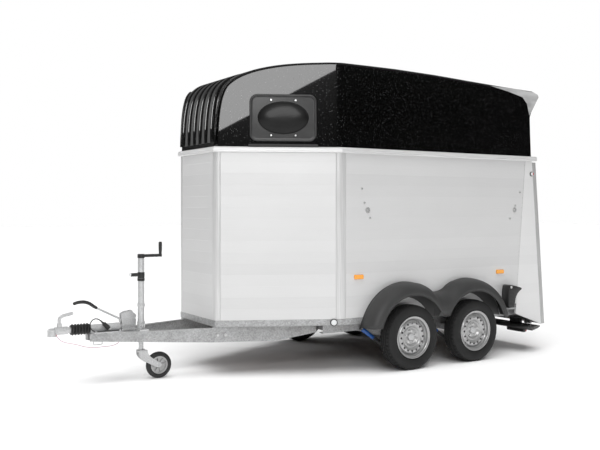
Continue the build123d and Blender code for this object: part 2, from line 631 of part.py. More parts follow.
# ---------------------------------------------------------------- inside
BAR_R = 24
WALL_INNER_Y = BODY_HALF_WIDTH - WALL
with BuildPart() as safety_bars:
    for bar_x in BAR_XS.values():
        disc_y(bar_x, (-WALL_INNER_Y, WALL_INNER_Y), BAR_Z, BAR_R)
save(safety_bars.part, "safety_bars")

MAT_TOP = RAIL_LOW + DECK + MAT
with BuildPart() as partition:
    partition_x = (BAR_XS["breast"] + BAR_R + FIT, BAR_XS["rump"] - BAR_R - FIT)
    block(partition_x, (-16, 16), (MAT_TOP + 200, BAR_Z + 40))
    for x in (partition_x[0], partition_x[1] - 40):
        block((x, x + 40), (-20, 20), (MAT_TOP, BAR_Z + 40))
save(partition.part, "partition")

# ---------------------------------------------------------------- ramp, latches and rear curtain
LATCH_Y = BODY_HALF_WIDTH - 178
LATCH_Z = 1700
RAMP_UP = (Vector(rear_line(RAMP_TOP_Z), 0, RAMP_TOP_Z) - Vector(rear_line(RAMP_LOW_Z), 0, RAMP_LOW_Z)).normalized()
RAMP_OUT = Vector(RAMP_UP.Z, 0, -RAMP_UP.X)


def latch_point(side, out):
    """A point on a latch's turning axis, at a distance from the ramp's outer face."""
    point = Vector(rear_line(LATCH_Z, RAMP_THICK), side * LATCH_Y, LATCH_Z) + RAMP_OUT * out
    return tuple(point)


with BuildPart() as ramp_panel:
    low, high = RAMP_LOW_Z, RAMP_TOP_Z
    outline = [
        (rear_line(low, 0.5), low), (rear_line(high, 0.5), high),
        (rear_line(high, RAMP_THICK), high), (rear_line(low, RAMP_THICK), low),
    ]
    plate_xz(outline, (BODY_HALF_WIDTH, -BODY_HALF_WIDTH))
    for y in HINGE_YS:
        for lug_side in (-1, 1):
            span = sorted((y + lug_side * (LUG / 2 + 1), y + lug_side * (LUG / 2 + 25)))
            disc_y(HINGE[0], span, HINGE[1], KNUCKLE_R)
            block((HINGE[0] + 4, HINGE[0] + KNUCKLE_R), span, (HINGE[1], HINGE[1] + 30))
        disc_y(HINGE[0], (y - LUG / 2 - 1, y + LUG / 2 + 1), HINGE[1], KNUCKLE_R + 2, Mode.SUBTRACT)
        disc_y(HINGE[0], (y - LUG / 2 - 27, y + LUG / 2 + 27), HINGE[1], PIN_R + RUN, Mode.SUBTRACT)
    for side in SIDES.values():
        rod(latch_point(side, -10), latch_point(side, 22), PIN_R)
save(ramp_panel.part, "ramp_panel")

with BuildPart() as ramp_mat:
    low, high = RAMP_LOW_Z + 60, RAMP_TOP_Z - 40
    outline = [
        (rear_line(low, -6), low), (rear_line(high, -6), high),
        (rear_line(high, 0.5), high), (rear_line(low, 0.5), low),
    ]
    plate_xz(outline, (WALL_INNER_Y - 8, -WALL_INNER_Y + 8))
save(ramp_mat.part, "ramp_mat")

for side_name, side in SIDES.items():
    with BuildPart() as latch:
        rod(latch_point(side, 2), latch_point(side, 18), 20)
        start = Vector(*latch_point(side, 4))
        grip = Plane(origin=start, x_dir=(0, 1, 0), z_dir=RAMP_OUT)
        with BuildSketch(grip) as arm_outline:
            Rectangle(24, 150, align=(Align.CENTER, Align.MAX))
        extrude(arm_outline.sketch, amount=12)
        rod(latch_point(side, 0), latch_point(side, 30), PIN_R + RUN, Mode.SUBTRACT)
    save(latch.part, f"latch_{side_name}")

ROLLER = (2228, ROOF_Z - 108)
ROLLER_R = 28
with BuildPart() as rear_curtain:
    roller_y = BODY_HALF_WIDTH - HOOD_INSET - HOOD_WALL - FIT
    disc_y(ROLLER[0], (-roller_y, roller_y), ROLLER[1], ROLLER_R)
    block((ROLLER[0] + ROLLER_R - 4, ROLLER[0] + ROLLER_R), (-roller_y + 6, roller_y - 6), (TRIM_HIGH + 10, ROLLER[1]))
    disc_y(ROLLER[0] + ROLLER_R - 2, (-roller_y + 6, roller_y - 6), TRIM_HIGH + 10 + FIT, 10)
save(rear_curtain.part, "rear_curtain")

# ---------------------------------------------------------------- overrun housing and draw gear
HOUSING_X = (-2150, -1885)
HOUSING_R = 33
SEAT_Z = (ARM_TOP + 0.3, 441)  # the housing's foot plate, on top of the drawbar arms
LEVER_PIVOT = (-1820, 500)
LEVER_HALF = 13.5
LEVER_PIN_R = 8
PLUG_Y = -62
PLUG_AXIS = Vector(43, 0, -42).normalized()
PLUG_BEND = Vector(-2090.3, PLUG_Y, 553.4)  # last corner of the supply cable's route
PLUG_HEAD = PLUG_BEND + PLUG_AXIS * 44  # where the cable enters the plug
PLUG_LENGTH = 84
PLUG_R = 20
GUIDE = (-1900, -50, 370)  # lower end of the post that holds the breakaway cable
GLAND = (-1896, -96, 446.5)

with BuildPart() as overrun_housing:
    rod((HOUSING_X[0], 0, SHAFT_Z), (HOUSING_X[1], 0, SHAFT_Z), HOUSING_R)
    block((HOUSING_X[0], HOUSING_X[0] + 14), (-52, 52), (SEAT_Z[0], SHAFT_Z + HOUSING_R))
    block((HOUSING_X[0] + 10, HOUSING_X[1]), (-112, 112), SEAT_Z)
    block((HOUSING_X[1] - 5, -1738), (-44, 44), SEAT_Z)
    quadrant = [(-1862, 436), (-1880, 472), (-1800, 600), (-1775, 600), (-1738, 513), (-1745, 436)]
    for side in SIDES.values():
        plate_xz(quadrant, sorted((side * (LEVER_HALF + 0.5), side * (LEVER_HALF + 6.5)), reverse=True))
    disc_y(LEVER_PIVOT[0], (-LEVER_HALF - 10, LEVER_HALF + 10), LEVER_PIVOT[1], LEVER_PIN_R)
    plug_foot = PLUG_HEAD + PLUG_AXIS * PLUG_LENGTH
    rod(tuple(plug_foot), tuple(plug_foot + PLUG_AXIS * 14), PLUG_R + 3)
    block((-1996, -1970), (PLUG_Y - 20, PLUG_Y + 20), (SEAT_Z[0], 446))
    rod((GUIDE[0], GUIDE[1], GUIDE[2]), (GUIDE[0], GUIDE[1], SEAT_Z[0] + 2), 5)
    rod((GLAND[0], GLAND[1], GLAND[2]), (GLAND[0] + 14, GLAND[1], GLAND[2]), 7.5)
    block((GLAND[0] + 2, GLAND[0] + 11), (GLAND[1] - 7, GLAND[1] + 7), (SEAT_Z[0], GLAND[2]))
    rod((HOUSING_X[0] - 1, 0, SHAFT_Z), (-1905, 0, SHAFT_Z), SHAFT_R + RUN, Mode.SUBTRACT)
save(overrun_housing.part, "overrun_housing")

HEAD_X = -HALF_LENGTH + 38  # middle of the ball socket
HEAD_R = 38
HEAD_Z = (423, 488)
SLEEVE_END = -2335
LEVER_EAR = (-2402, 518)
CABLE_LUG = (-2440, -46, 442)
CABLE_START = Vector(0, -20, -14).normalized()  # direction in which the breakaway cable leaves its lug
with BuildPart() as coupling_head:
    rod((HEAD_X, 0, HEAD_Z[0]), (HEAD_X, 0, HEAD_Z[1]), HEAD_R)
    chamfer(coupling_head.edges().group_by(Axis.Z)[-1], 10)
    rod((HEAD_X + 20, 0, SHAFT_Z), (SLEEVE_END, 0, SHAFT_Z), HOUSING_R)
    for side in SIDES.values():
        block((-2420, -2384), sorted((side * 9.5, side * 14)), (SHAFT_Z + 20, LEVER_EAR[1] + 10))
    disc_y(LEVER_EAR[0], (-12, 12), LEVER_EAR[1], 5)
    rod((HEAD_X, 0, HEAD_Z[0] - 1), (HEAD_X, 0, HEAD_Z[0] + SOCKET_DEPTH), SOCKET_R, Mode.SUBTRACT)
    rod((-2412, 0, SHAFT_Z), (SLEEVE_END + 1, 0, SHAFT_Z), SHAFT_R, Mode.SUBTRACT)
    rod(tuple(Vector(*CABLE_LUG) - CABLE_START * 26), CABLE_LUG, 5)
save(coupling_head.part, "coupling_head")

with BuildPart() as draw_shaft:
    rod((-2412, 0, SHAFT_Z), (-1990, 0, SHAFT_Z), SHAFT_R)
save(draw_shaft.part, "draw_shaft")

with BuildPart() as coupling_handle:
    grip = [(-2410, 512), (-2410, 578), (-2398, 592), (-2290, 612), (-2284, 596), (-2388, 574), (-2392, 512)]
    plate_xz(grip, (8, -8))
    disc_y(LEVER_EAR[0], (-8, 8), LEVER_EAR[1], 11)
    disc_y(LEVER_EAR[0], (-9, 9), LEVER_EAR[1], 5 + RUN, Mode.SUBTRACT)
save(coupling_handle.part, "coupling_handle")

BELLOWS_X = (-2312, HOUSING_X[0] - FIT)
BELLOWS_R = (38, 47)
BELLOWS_FOLDS = 7
with BuildPart() as bellows:
    fold = (BELLOWS_X[1] - BELLOWS_X[0]) / BELLOWS_FOLDS
    crests = []
    for i in range(BELLOWS_FOLDS):
        crests += [(BELLOWS_X[0] + fold * i, BELLOWS_R[0]), (BELLOWS_X[0] + fold * (i + 0.5), BELLOWS_R[1])]
    crests.append((BELLOWS_X[1], BELLOWS_R[0]))
    outline = crests + [(BELLOWS_X[1], SHAFT_R + 0.5), (BELLOWS_X[0], SHAFT_R + 0.5)]
    with BuildSketch(Plane(origin=(0, 0, SHAFT_Z), x_dir=(1, 0, 0), z_dir=(0, -1, 0))) as section:
        Polygon(*outline, align=None)
    revolve(section.sketch, axis=Axis((0, 0, SHAFT_Z), (1, 0, 0)))
save(bellows.part, "bellows")

LEVER_ROD = [(LEVER_PIVOT[0], LEVER_PIVOT[1]), (-2091, 639)]
GRIP_PATH = [(-2091, 639), (-2165, 690), (-2230, 698), (-2290, 681)]
with BuildPart() as handbrake_lever:
    disc_y(LEVER_PIVOT[0], (-LEVER_HALF, LEVER_HALF), LEVER_PIVOT[1], 22)
    rod((LEVER_ROD[0][0], 0, LEVER_ROD[0][1]), (LEVER_ROD[1][0], 0, LEVER_ROD[1][1]), 8)
    with BuildLine() as grip_path:
        FilletPolyline(*[(x, 0, z) for x, z in GRIP_PATH], radius=[70, 110])
    with BuildSketch(Plane(origin=grip_path.line @ 0, z_dir=grip_path.line % 0)) as grip_section:
        Circle(14)
    sweep(grip_section.sketch, path=grip_path.line)
    disc_y(LEVER_PIVOT[0], (-LEVER_HALF - 1, LEVER_HALF + 1), LEVER_PIVOT[1], LEVER_PIN_R + RUN, Mode.SUBTRACT)
save(handbrake_lever.part, "handbrake_lever")

# ---------------------------------------------------------------- jockey wheel
CLAMP_Z = (SEAT_Z[0] + 12, 508)
CLAMP_SCREW_Z = 480
with BuildPart() as jockey_clamp:
    arm_edge = -arm_y(JOCKEY_X)
    block((JOCKEY_X - 42, JOCKEY_X + 42), (arm_edge - 4, JOCKEY_Y + 38), (SEAT_Z[0], SEAT_Z[0] + 12))
    rod((JOCKEY_X, JOCKEY_Y, CLAMP_Z[0]), (JOCKEY_X, JOCKEY_Y, CLAMP_Z[1]), 33)
    rod((JOCKEY_X, JOCKEY_Y, SEAT_Z[0] - 1), (JOCKEY_X, JOCKEY_Y, CLAMP_Z[1] + 1), JOCKEY_TUBE_R + RUN, Mode.SUBTRACT)
    # split ears and the clamp screw
    block((JOCKEY_X - 14, JOCKEY_X + 14), (JOCKEY_Y - 58, JOCKEY_Y - 28), (CLAMP_SCREW_Z - 16, CLAMP_SCREW_Z + 16))
    block((JOCKEY_X - 3, JOCKEY_X + 3), (JOCKEY_Y - 60, JOCKEY_Y - 20), (CLAMP_Z[0], CLAMP_Z[1] + 1), Mode.SUBTRACT)
    rod((JOCKEY_X - 30, JOCKEY_Y - 46, CLAMP_SCREW_Z), (JOCKEY_X + 18, JOCKEY_Y - 46, CLAMP_SCREW_Z), 6)
save(jockey_clamp.part, "jockey_clamp")

with BuildPart() as clamp_lever:
    screw_y = JOCKEY_Y - 46
    rod((JOCKEY_X - 34, screw_y, CLAMP_SCREW_Z), (JOCKEY_X - 15, screw_y, CLAMP_SCREW_Z), 10)
    rod((JOCKEY_X - 28, screw_y, CLAMP_SCREW_Z - 8), (JOCKEY_X - 28, screw_y, CLAMP_SCREW_Z + 66), 5)
    rod((JOCKEY_X - 31, screw_y, CLAMP_SCREW_Z), (JOCKEY_X - 14, screw_y, CLAMP_SCREW_Z), 6 + RUN, Mode.SUBTRACT)
save(clamp_lever.part, "clamp_lever")

STEM_LOW = 262
TUBE_LOW = 330
TUBE_HIGH = 1048
with BuildPart() as jockey_outer_tube:
    axis_at = lambda z: (JOCKEY_X, JOCKEY_Y, z)
    rod(axis_at(TUBE_LOW), axis_at(TUBE_HIGH + 12), JOCKEY_TUBE_R)
    rod(axis_at(640), axis_at(676), JOCKEY_TUBE_R + 5)
    rod(axis_at(886), axis_at(942), JOCKEY_TUBE_R + 6)
    with BuildSketch(Plane.XY.offset(896)) as handle:
        with Locations((JOCKEY_X - 62, JOCKEY_Y)):
            SlotOverall(96, 30)
    extrude(handle.sketch, amount=34)
    rod(axis_at(TUBE_LOW - 1), axis_at(TUBE_HIGH), JOCKEY_STEM_R + RUN, Mode.SUBTRACT)
    rod(axis_at(TUBE_HIGH - 1), axis_at(TUBE_HIGH + 13), 6 + RUN, Mode.SUBTRACT)
save(jockey_outer_tube.part, "jockey_outer_tube")

STEM_HIGH = 690
with BuildPart() as jockey_stem:
    rod(axis_at(STEM_LOW), axis_at(STEM_HIGH), JOCKEY_STEM_R)
    rod(axis_at(234), axis_at(STEM_LOW), 10)
    rod(axis_at(230), axis_at(236), 16)
save(jockey_stem.part, "jockey_stem")

CRANK_REACH = 178
with BuildPart() as jockey_crank:
    rod(axis_at(STEM_HIGH + 50), axis_at(TUBE_HIGH + 14), 6)
    rod(axis_at(TUBE_HIGH + 12.5), axis_at(TUBE_HIGH + 36), 21)
    with BuildSketch(Plane.XY.offset(TUBE_HIGH + 22)) as arm_outline:
        with Locations((JOCKEY_X + CRANK_REACH / 2, JOCKEY_Y)):
            SlotCenterToCenter(CRANK_REACH, 24)
    extrude(arm_outline.sketch, amount=11)
    rod((JOCKEY_X + CRANK_REACH, JOCKEY_Y, TUBE_HIGH + 33), (JOCKEY_X + CRANK_REACH, JOCKEY_Y, TUBE_HIGH + 150), 12)
save(jockey_crank.part, "jockey_crank")

AXLE_SPOT = (JOCKEY_X + JOCKEY_TRAIL, JOCKEY_WHEEL_R)
CHEEK_GAP = JOCKEY_WIDTH / 2 + 4
with BuildPart() as jockey_fork:
    block((JOCKEY_X - 30, JOCKEY_X + 46), (JOCKEY_Y - CHEEK_GAP - 5, JOCKEY_Y + CHEEK_GAP + 5), (240, 258))
    ax, az = AXLE_SPOT
    cheek = [
        (JOCKEY_X - 30, 258), (JOCKEY_X + 46, 258), (ax + 12, az + 22), (ax + 18, az), (ax + 4, az - 18),
        (ax - 18, az - 12), (JOCKEY_X - 14, 214), (JOCKEY_X - 30, 240),
    ]
    for side in SIDES.values():
        y = sorted((JOCKEY_Y + side * CHEEK_GAP, JOCKEY_Y + side * (CHEEK_GAP + 5)), reverse=True)
        plate_xz(cheek, y)
    disc_y(ax, (JOCKEY_Y - CHEEK_GAP - 9, JOCKEY_Y + CHEEK_GAP + 9), az, 8)
    rod(axis_at(239), axis_at(259), 10 + RUN, Mode.SUBTRACT)
save(jockey_fork.part, "jockey_fork")

with BuildPart() as jockey_wheel_rim:
    disc_y(ax, (JOCKEY_Y - 20, JOCKEY_Y + 20), az, 74)
    for side in SIDES.values():
        disc_y(ax, (JOCKEY_Y + side * 8, JOCKEY_Y + side * 21), az, 64, Mode.SUBTRACT)
        disc_y(ax, (JOCKEY_Y + side * 7, JOCKEY_Y + side * 25), az, 20)
    disc_y(ax, (JOCKEY_Y - 30, JOCKEY_Y + 30), az, 8 + RUN, Mode.SUBTRACT)
with BuildPart() as jockey_wheel_tyre:
    plane = Plane(origin=(ax, JOCKEY_Y, az), x_dir=(0, 1, 0), z_dir=(1, 0, 0))
    half = JOCKEY_WIDTH / 2
    r = JOCKEY_WHEEL_R
    section = [(-20, 74), (-half, 84), (-half + 1, 100), (-16, r - 2), (0, r), (16, r - 2), (half - 1, 100), (half, 84), (20, 74)]
    with BuildSketch(plane) as outline:
        Polygon(*section, align=None)
    revolve(outline.sketch, axis=Axis((ax, JOCKEY_Y, az), (0, 1, 0)))
save(Compound([jockey_wheel_rim.part.solid(), jockey_wheel_tyre.part.solid()]), "jockey_wheel")

# ---------------------------------------------------------------- cables on the drawbar
SUPPLY_R = 4.5
BREAKAWAY_R = 2.2


def cable(route, radius, name):
    """A round cable along straight runs joined by tangent arcs, as wide as the runs allow."""
    points = [Vector(*p) for p in route]
    radii = []
    for before, here, after in zip(points, points[1:], points[2:]):
        turn = radians((here - before).get_angle(after - here))
        shorter = min((here - before).length, (after - here).length)
        radii.append(0.45 * shorter / tan(turn / 2))
    print(name, "bend radii", [round(r) for r in radii], "smallest in diameters", round(min(radii) / radius / 2, 1))
    with BuildPart() as tube:
        with BuildLine() as path:
            FilletPolyline(*route, radius=radii)
        with BuildSketch(Plane(origin=path.line @ 0, z_dir=path.line % 0)) as section:
            Circle(radius)
        sweep(section.sketch, path=path.line)
    length = sum(edge.length for edge in path.line.edges())
    print(name, "length", round(length), "volume ratio", round(tube.part.volume / pi / radius**2 / length, 4))
    return tube.part


SUPPLY_ROUTE = [
    GLAND, (-1948, GLAND[1], GLAND[2]), (-2008, -97.5, 447.8), (-2072, -92, 448.2), (-2134, -86, 447), (-2165, -79, 478),
    (-2165.4, -72, 522), (-2134.4, -66, 553.5), tuple(PLUG_BEND), tuple(PLUG_HEAD),
]
save(cable(SUPPLY_ROUTE, SUPPLY_R, "supply_cable"), "supply_cable")
with BuildPart() as connector_plug:
    rod(tuple(PLUG_HEAD), tuple(PLUG_HEAD + PLUG_AXIS * 20), 11)
    rod(tuple(PLUG_HEAD + PLUG_AXIS * 20), tuple(PLUG_HEAD + PLUG_AXIS * PLUG_LENGTH), PLUG_R)
save(connector_plug.part, "connector_plug")

BREAKAWAY_ROUTE = [
    CABLE_LUG, tuple(Vector(*CABLE_LUG) + CABLE_START * 24), (-2418, -74, 398), (-2372, -76, 374), (-2320, -75, 362), (-2268, -76, 347),
    (-2220, -75, 328), (-2166, -76, 316), (-2108, -75, 311), (-2052, -72, 313), (-1998, -66, 311), (-1944, -58, 316),
    (GUIDE[0], GUIDE[1], GUIDE[2] - 34), GUIDE,
]
save(cable(BREAKAWAY_ROUTE, BREAKAWAY_R, "breakaway_cable"), "breakaway_cable")
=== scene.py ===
# %% [markdown]
# # A two-stall livestock trailer
# The trailer stands on its two axles and its jockey wheel, with the drawbar towards -X, the loading
# ramp towards +X and the ground at Z = 0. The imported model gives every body, joint and size, so this
# lesson only builds the skins, trims and finishes that the eye sees, and lets each one ride on the
# body that carries it.

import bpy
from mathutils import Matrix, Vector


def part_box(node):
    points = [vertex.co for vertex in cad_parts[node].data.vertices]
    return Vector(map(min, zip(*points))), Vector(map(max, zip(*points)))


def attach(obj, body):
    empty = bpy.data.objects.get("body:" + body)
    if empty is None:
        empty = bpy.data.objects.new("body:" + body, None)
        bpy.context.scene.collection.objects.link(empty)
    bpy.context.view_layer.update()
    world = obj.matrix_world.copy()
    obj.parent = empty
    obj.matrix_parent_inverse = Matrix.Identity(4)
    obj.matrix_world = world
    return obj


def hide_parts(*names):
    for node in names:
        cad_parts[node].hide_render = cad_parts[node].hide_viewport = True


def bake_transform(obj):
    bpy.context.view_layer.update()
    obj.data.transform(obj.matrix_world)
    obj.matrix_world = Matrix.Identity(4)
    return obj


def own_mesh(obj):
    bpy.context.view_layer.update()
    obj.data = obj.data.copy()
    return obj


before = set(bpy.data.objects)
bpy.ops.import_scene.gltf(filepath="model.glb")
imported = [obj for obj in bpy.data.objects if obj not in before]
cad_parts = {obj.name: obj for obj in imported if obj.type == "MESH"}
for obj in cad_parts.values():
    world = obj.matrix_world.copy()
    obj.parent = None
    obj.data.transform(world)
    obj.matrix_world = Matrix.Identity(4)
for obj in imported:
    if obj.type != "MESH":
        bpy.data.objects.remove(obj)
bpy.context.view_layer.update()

from math import atan2, cos, hypot, pi, radians, sin, tan

import bmesh
import bpy
from mathutils import Matrix, Vector

# %% [markdown]
# ## Driving sizes
# Places come from the frame's own boxes where a box can say them. The few sizes that a box can't say,
# such as the angle of the slanted front walls, are worked out here once, in metres.

# %% Sizes from the frame
wall_low, wall_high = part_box("side_walls")
nose_low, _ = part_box("front_walls")
rail_low, rail_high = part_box("base_rails")
trim_low, trim_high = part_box("top_trim")
HALF_WIDTH = wall_high.y
NOSE_X = nose_low.x
NOSE_HALF = 0.376
SHOULDER_X = -0.142
WALL = 0.024
SLANT = atan2(HALF_WIDTH - NOSE_HALF, SHOULDER_X - NOSE_X)
SLANT_LENGTH = (SHOULDER_X - NOSE_X) / cos(SLANT)
SEAM_TOP, SEAM_LOW = Vector((2.2045, 0, 1.976)), Vector((2.063, 0, 0.399))
CHEEK_TOP, CHEEK_LOW = Vector((2.309, 0, 1.976)), Vector((2.446, 0, 0.261))
SIDES = {"left": -1, "right": 1}
WHEELS = {"front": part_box("tyre_front_left"), "rear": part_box("tyre_rear_left")}
WHEEL_X = {axle: (low.x + high.x) / 2 for axle, (low, high) in WHEELS.items()}
WHEEL_Z = (WHEELS["front"][0].z + WHEELS["front"][1].z) / 2
print("slant", round(SLANT, 3), "wheels at", WHEEL_X)

# %% [markdown]
# ## The camera
# A long lens at eye height looks level along the trailer's left front. A small shift keeps the
# uprights upright while the trailer sits a little high in the picture.

# %% Camera
camera = bpy.data.objects.new("camera", bpy.data.cameras.new("camera"))
bpy.context.scene.collection.objects.link(camera)
camera.location = (-4.229, -6.739, 1.490)
camera.rotation_mode = "QUATERNION"
camera.rotation_quaternion = Vector((0.529, 0.849, 0)).to_track_quat("-Z", "Y")
camera.data.sensor_width = 36
camera.data.lens = 47.93
camera.data.shift_y = -0.0274
bpy.context.scene.camera = camera
bpy.context.scene.view_settings.view_transform = "Standard"

# %% [markdown]
# ## Small helpers
# Every new piece goes the same way: a bmesh is shaped, closed and turned outwards, becomes an object
# at the origin, gets its finish, rides on a body and may stand for a CAD node.

# %% Helpers for pieces
def finish_piece(name, bm, finishes, body, replaces=(), smooth=35, recalc=True):
    """Turns a bmesh into a riding piece with its finishes; faces turn smooth below an angle."""
    if recalc:
        bmesh.ops.recalc_face_normals(bm, faces=bm.faces[:])
    mesh = bpy.data.meshes.new(name)
    for face in bm.faces:
        face.smooth = True
    for edge in bm.edges:
        if len(edge.link_faces) == 2:
            edge.smooth = edge.calc_face_angle(0) < radians(smooth)
    bm.to_mesh(mesh)
    bm.free()
    piece = bpy.data.objects.new(name, mesh)
    bpy.context.scene.collection.objects.link(piece)
    for finish in finishes if isinstance(finishes, (list, tuple)) else [finishes]:
        mesh.materials.append(finish)
    if body:  # a piece that blends between two bodies rides on neither
        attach(piece, body)
    if replaces:
        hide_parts(*([replaces] if isinstance(replaces, str) else replaces))
    return piece


def keep_flat(piece):
    """Lets big flat faces keep their own normals beside small round edges."""
    weigh = piece.modifiers.new("flat_faces", "WEIGHTED_NORMAL")
    weigh.weight = 100
    weigh.keep_sharp = True


def add_box(bm, low, high, edge=0.0, segments=2, material=0):
    """A box between two corners, with rounded edges, added to a bmesh."""
    made = bmesh.ops.create_cube(bm, size=1)["verts"]
    middle = [(a + b) / 2 for a, b in zip(low, high)]
    size = [b - a for a, b in zip(low, high)]
    bmesh.ops.scale(bm, vec=size, verts=made)
    bmesh.ops.translate(bm, vec=middle, verts=made)
    faces = {f for v in made for f in v.link_faces}
    for face in faces:
        face.material_index = material
    if edge:
        edges = list({e for v in made for e in v.link_edges})
        bmesh.ops.bevel(bm, geom=edges, offset=edge, offset_type="OFFSET", segments=segments, profile=0.5,
                        affect="EDGES", material=-1)
    return made


def add_turned(bm, section, axis_point, axis, steps=64, material=0):
    """A solid of revolution: a closed section of (distance along the axis, radius), spun round it."""
    axis = Vector(axis).normalized()
    across = axis.orthogonal().normalized()
    origin = Vector(axis_point)
    verts = [bm.verts.new(origin + axis * t + across * r) for t, r in section]
    edges = [bm.edges.new((a, b)) for a, b in zip(verts, verts[1:])]
    if section[0][1] > 1e-6 and section[-1][1] > 1e-6:
        edges.append(bm.edges.new((verts[-1], verts[0])))
    before = set(bm.faces)
    bmesh.ops.spin(bm, geom=verts + edges, cent=origin, axis=axis, angle=2 * pi, steps=steps, use_merge=True)
    bmesh.ops.remove_doubles(bm, verts=bm.verts[:], dist=1e-6)
    for face in set(bm.faces) - before:
        face.material_index = material


def add_disc(bm, start, end, radius, edge=0.0, steps=32, material=0):
    """A round bar between two points, with a small chamfer at its far end."""
    start, end = Vector(start), Vector(end)
    length = (end - start).length
    section = [(0, 0), (0, radius), (length - edge, radius), (length, radius - edge), (length, 0)]
    add_turned(bm, section, start, end - start, steps, material)


def add_plate(bm, outline, start, thickness, across, edge=0.0, segments=2):
    """A flat plate: an outline of points, extruded along a direction, with rounded edges."""
    across = Vector(across).normalized()
    verts = [bm.verts.new(Vector(p) + across * start) for p in outline]
    face = bm.faces.new(verts)
    out = bmesh.ops.extrude_face_region(bm, geom=[face])["geom"]
    moved = [g for g in out if isinstance(g, bmesh.types.BMVert)]
    bmesh.ops.translate(bm, vec=across * thickness, verts=moved)
    if edge:
        edges = list({e for v in verts + moved for e in v.link_edges})
        bmesh.ops.bevel(bm, geom=edges, offset=edge, offset_type="OFFSET", segments=segments, profile=0.5,
                        affect="EDGES", material=-1, clamp_overlap=True)


def sweep(bm, stations, closed_section=True, material=0, caps=True):
    """Joins rows of points, each a section at one place along a path, into one skin."""
    rows = []
    for station in stations:
        row = [bm.verts.new(p) for p in station]
        pairs = list(zip(row, row[1:])) + ([(row[-1], row[0])] if closed_section else [])
        rows.append([bm.edges.new(pair) for pair in pairs])
    before = set(bm.faces)
    for first, second in zip(rows, rows[1:]):
        bmesh.ops.bridge_loops(bm, edges=first + second)
    if caps and closed_section:
        for row in (rows[0], rows[-1]):
            bmesh.ops.holes_fill(bm, edges=row, sides=len(row) + 1)
    for face in set(bm.faces) - before:
        face.material_index = material


def circle_points(centre, along, radius, count=12):
    """Points of a circle round a direction."""
    along = Vector(along).normalized()
    side = along.cross(Vector((0, 0, 1)))
    side = side.normalized() if side.length > 0.1 else Vector((1, 0, 0))
    up = side.cross(along).normalized()
    turns = [2 * pi * i / count for i in range(count)]
    return [Vector(centre) + side * radius * cos(t) + up * radius * sin(t) for t in turns]


def add_tube(bm, points, radii, count=12):
    """A round tube through points, with a radius at each."""
    points = [Vector(p) for p in points]
    stations = []
    for i, point in enumerate(points):
        before, after = points[max(i - 1, 0)], points[min(i + 1, len(points) - 1)]
        stations.append(circle_points(point, after - before, radii[i], count))
    sweep(bm, stations)


def smooth_line(points, per_span=6):
    """A smooth line through control points, for tubes and outlines."""
    points = [Vector(p) for p in points]
    line = []
    for i in range(len(points) - 1):
        a, b = points[i], points[i + 1]
        before = points[i - 1] if i else a * 2 - b
        after = points[i + 2] if i + 2 < len(points) else b * 2 - a
        for k in range(per_span):
            t = k / per_span
            curve = (2 * a) + (b - before) * t + (2 * before - 5 * a + 4 * b - after) * t * t
            line.append((curve + (3 * a - before - 3 * b + after) * t ** 3) / 2)
    return line + [points[-1]]


def rounded_rectangle(width, height, radius, steps=8):
    """Points of a rectangle with round corners, in its own plane, anticlockwise."""
    points = []
    for corner in range(4):
        sx, sy = (1, 1, -1, -1)[corner], (-1, 1, 1, -1)[corner]
        start = -pi / 2 + corner * pi / 2
        for k in range(steps + 1):
            turn = start + pi / 2 * k / steps
            x = sx * (width / 2 - radius) + radius * cos(turn)
            points.append((x, sy * (height / 2 - radius) + radius * sin(turn)))
    return points


def slant_frame(side, along, z, out):
    """Origin, rearward, upward and outward directions of a place on a slanted front wall."""
    back = Vector((cos(SLANT), side * sin(SLANT), 0))
    normal = Vector((-sin(SLANT), side * cos(SLANT), 0))
    foot = Vector((NOSE_X, side * NOSE_HALF, z))
    return foot + back * along + normal * out, back, Vector((0, 0, 1)), normal


print("helpers ready")

# %% [markdown]
# ## Finishes
# Each finish is one function that builds a small node tree on the object's own coordinates. The
# shader's plain values sit on its own sockets, and only what varies over the surface is linked.

# %% Helpers for finishes
def new_finish(name, color, metallic=0.0, roughness=0.5, **sockets):
    """A material with one shader, and its plain values on the shader's own sockets."""
    material = bpy.data.materials.new(name)
    material.use_nodes = True
    shader = material.node_tree.nodes["Principled BSDF"]
    shader.inputs["Base Color"].default_value = (*color, 1)
    shader.inputs["Metallic"].default_value = metallic
    shader.inputs["Roughness"].default_value = roughness
    for socket, value in sockets.items():
        shader.inputs[socket.replace("_", " ")].default_value = value
    material.diffuse_color = (*color, 1)
    return material, material.node_tree, shader


def place(tree, scale=(1, 1, 1), shift=(0, 0, 0)):
    """The piece's own coordinates, scaled."""
    coordinates = tree.nodes.new("ShaderNodeTexCoord")
    mapping = tree.nodes.new("ShaderNodeMapping")
    mapping.inputs["Scale"].default_value = scale
    mapping.inputs["Location"].default_value = shift
    tree.links.new(coordinates.outputs["Object"], mapping.inputs["Vector"])
    return mapping.outputs["Vector"]


def noise(tree, vector, scale, detail=4):
    """A soft cloudy pattern."""
    node = tree.nodes.new("ShaderNodeTexNoise")
    node.inputs["Scale"].default_value = scale
    node.inputs["Detail"].default_value = detail
    tree.links.new(vector, node.inputs["Vector"])
    return node.outputs["Fac"]


def spots(tree, vector, scale, output="Distance"):
    """A pattern of cells: how far a place is from its cell's middle, or the cell's own colour."""
    node = tree.nodes.new("ShaderNodeTexVoronoi")
    node.inputs["Scale"].default_value = scale
    tree.links.new(vector, node.inputs["Vector"])
    return node.outputs[output]


def between(tree, value, low, high, from_low=0.0, from_high=1.0):
    """Spreads a value over a new range."""
    node = tree.nodes.new("ShaderNodeMapRange")
    node.inputs["From Min"].default_value = from_low
    node.inputs["From Max"].default_value = from_high
    node.inputs["To Min"].default_value = low
    node.inputs["To Max"].default_value = high
    tree.links.new(value, node.inputs["Value"])
    return node.outputs["Result"]


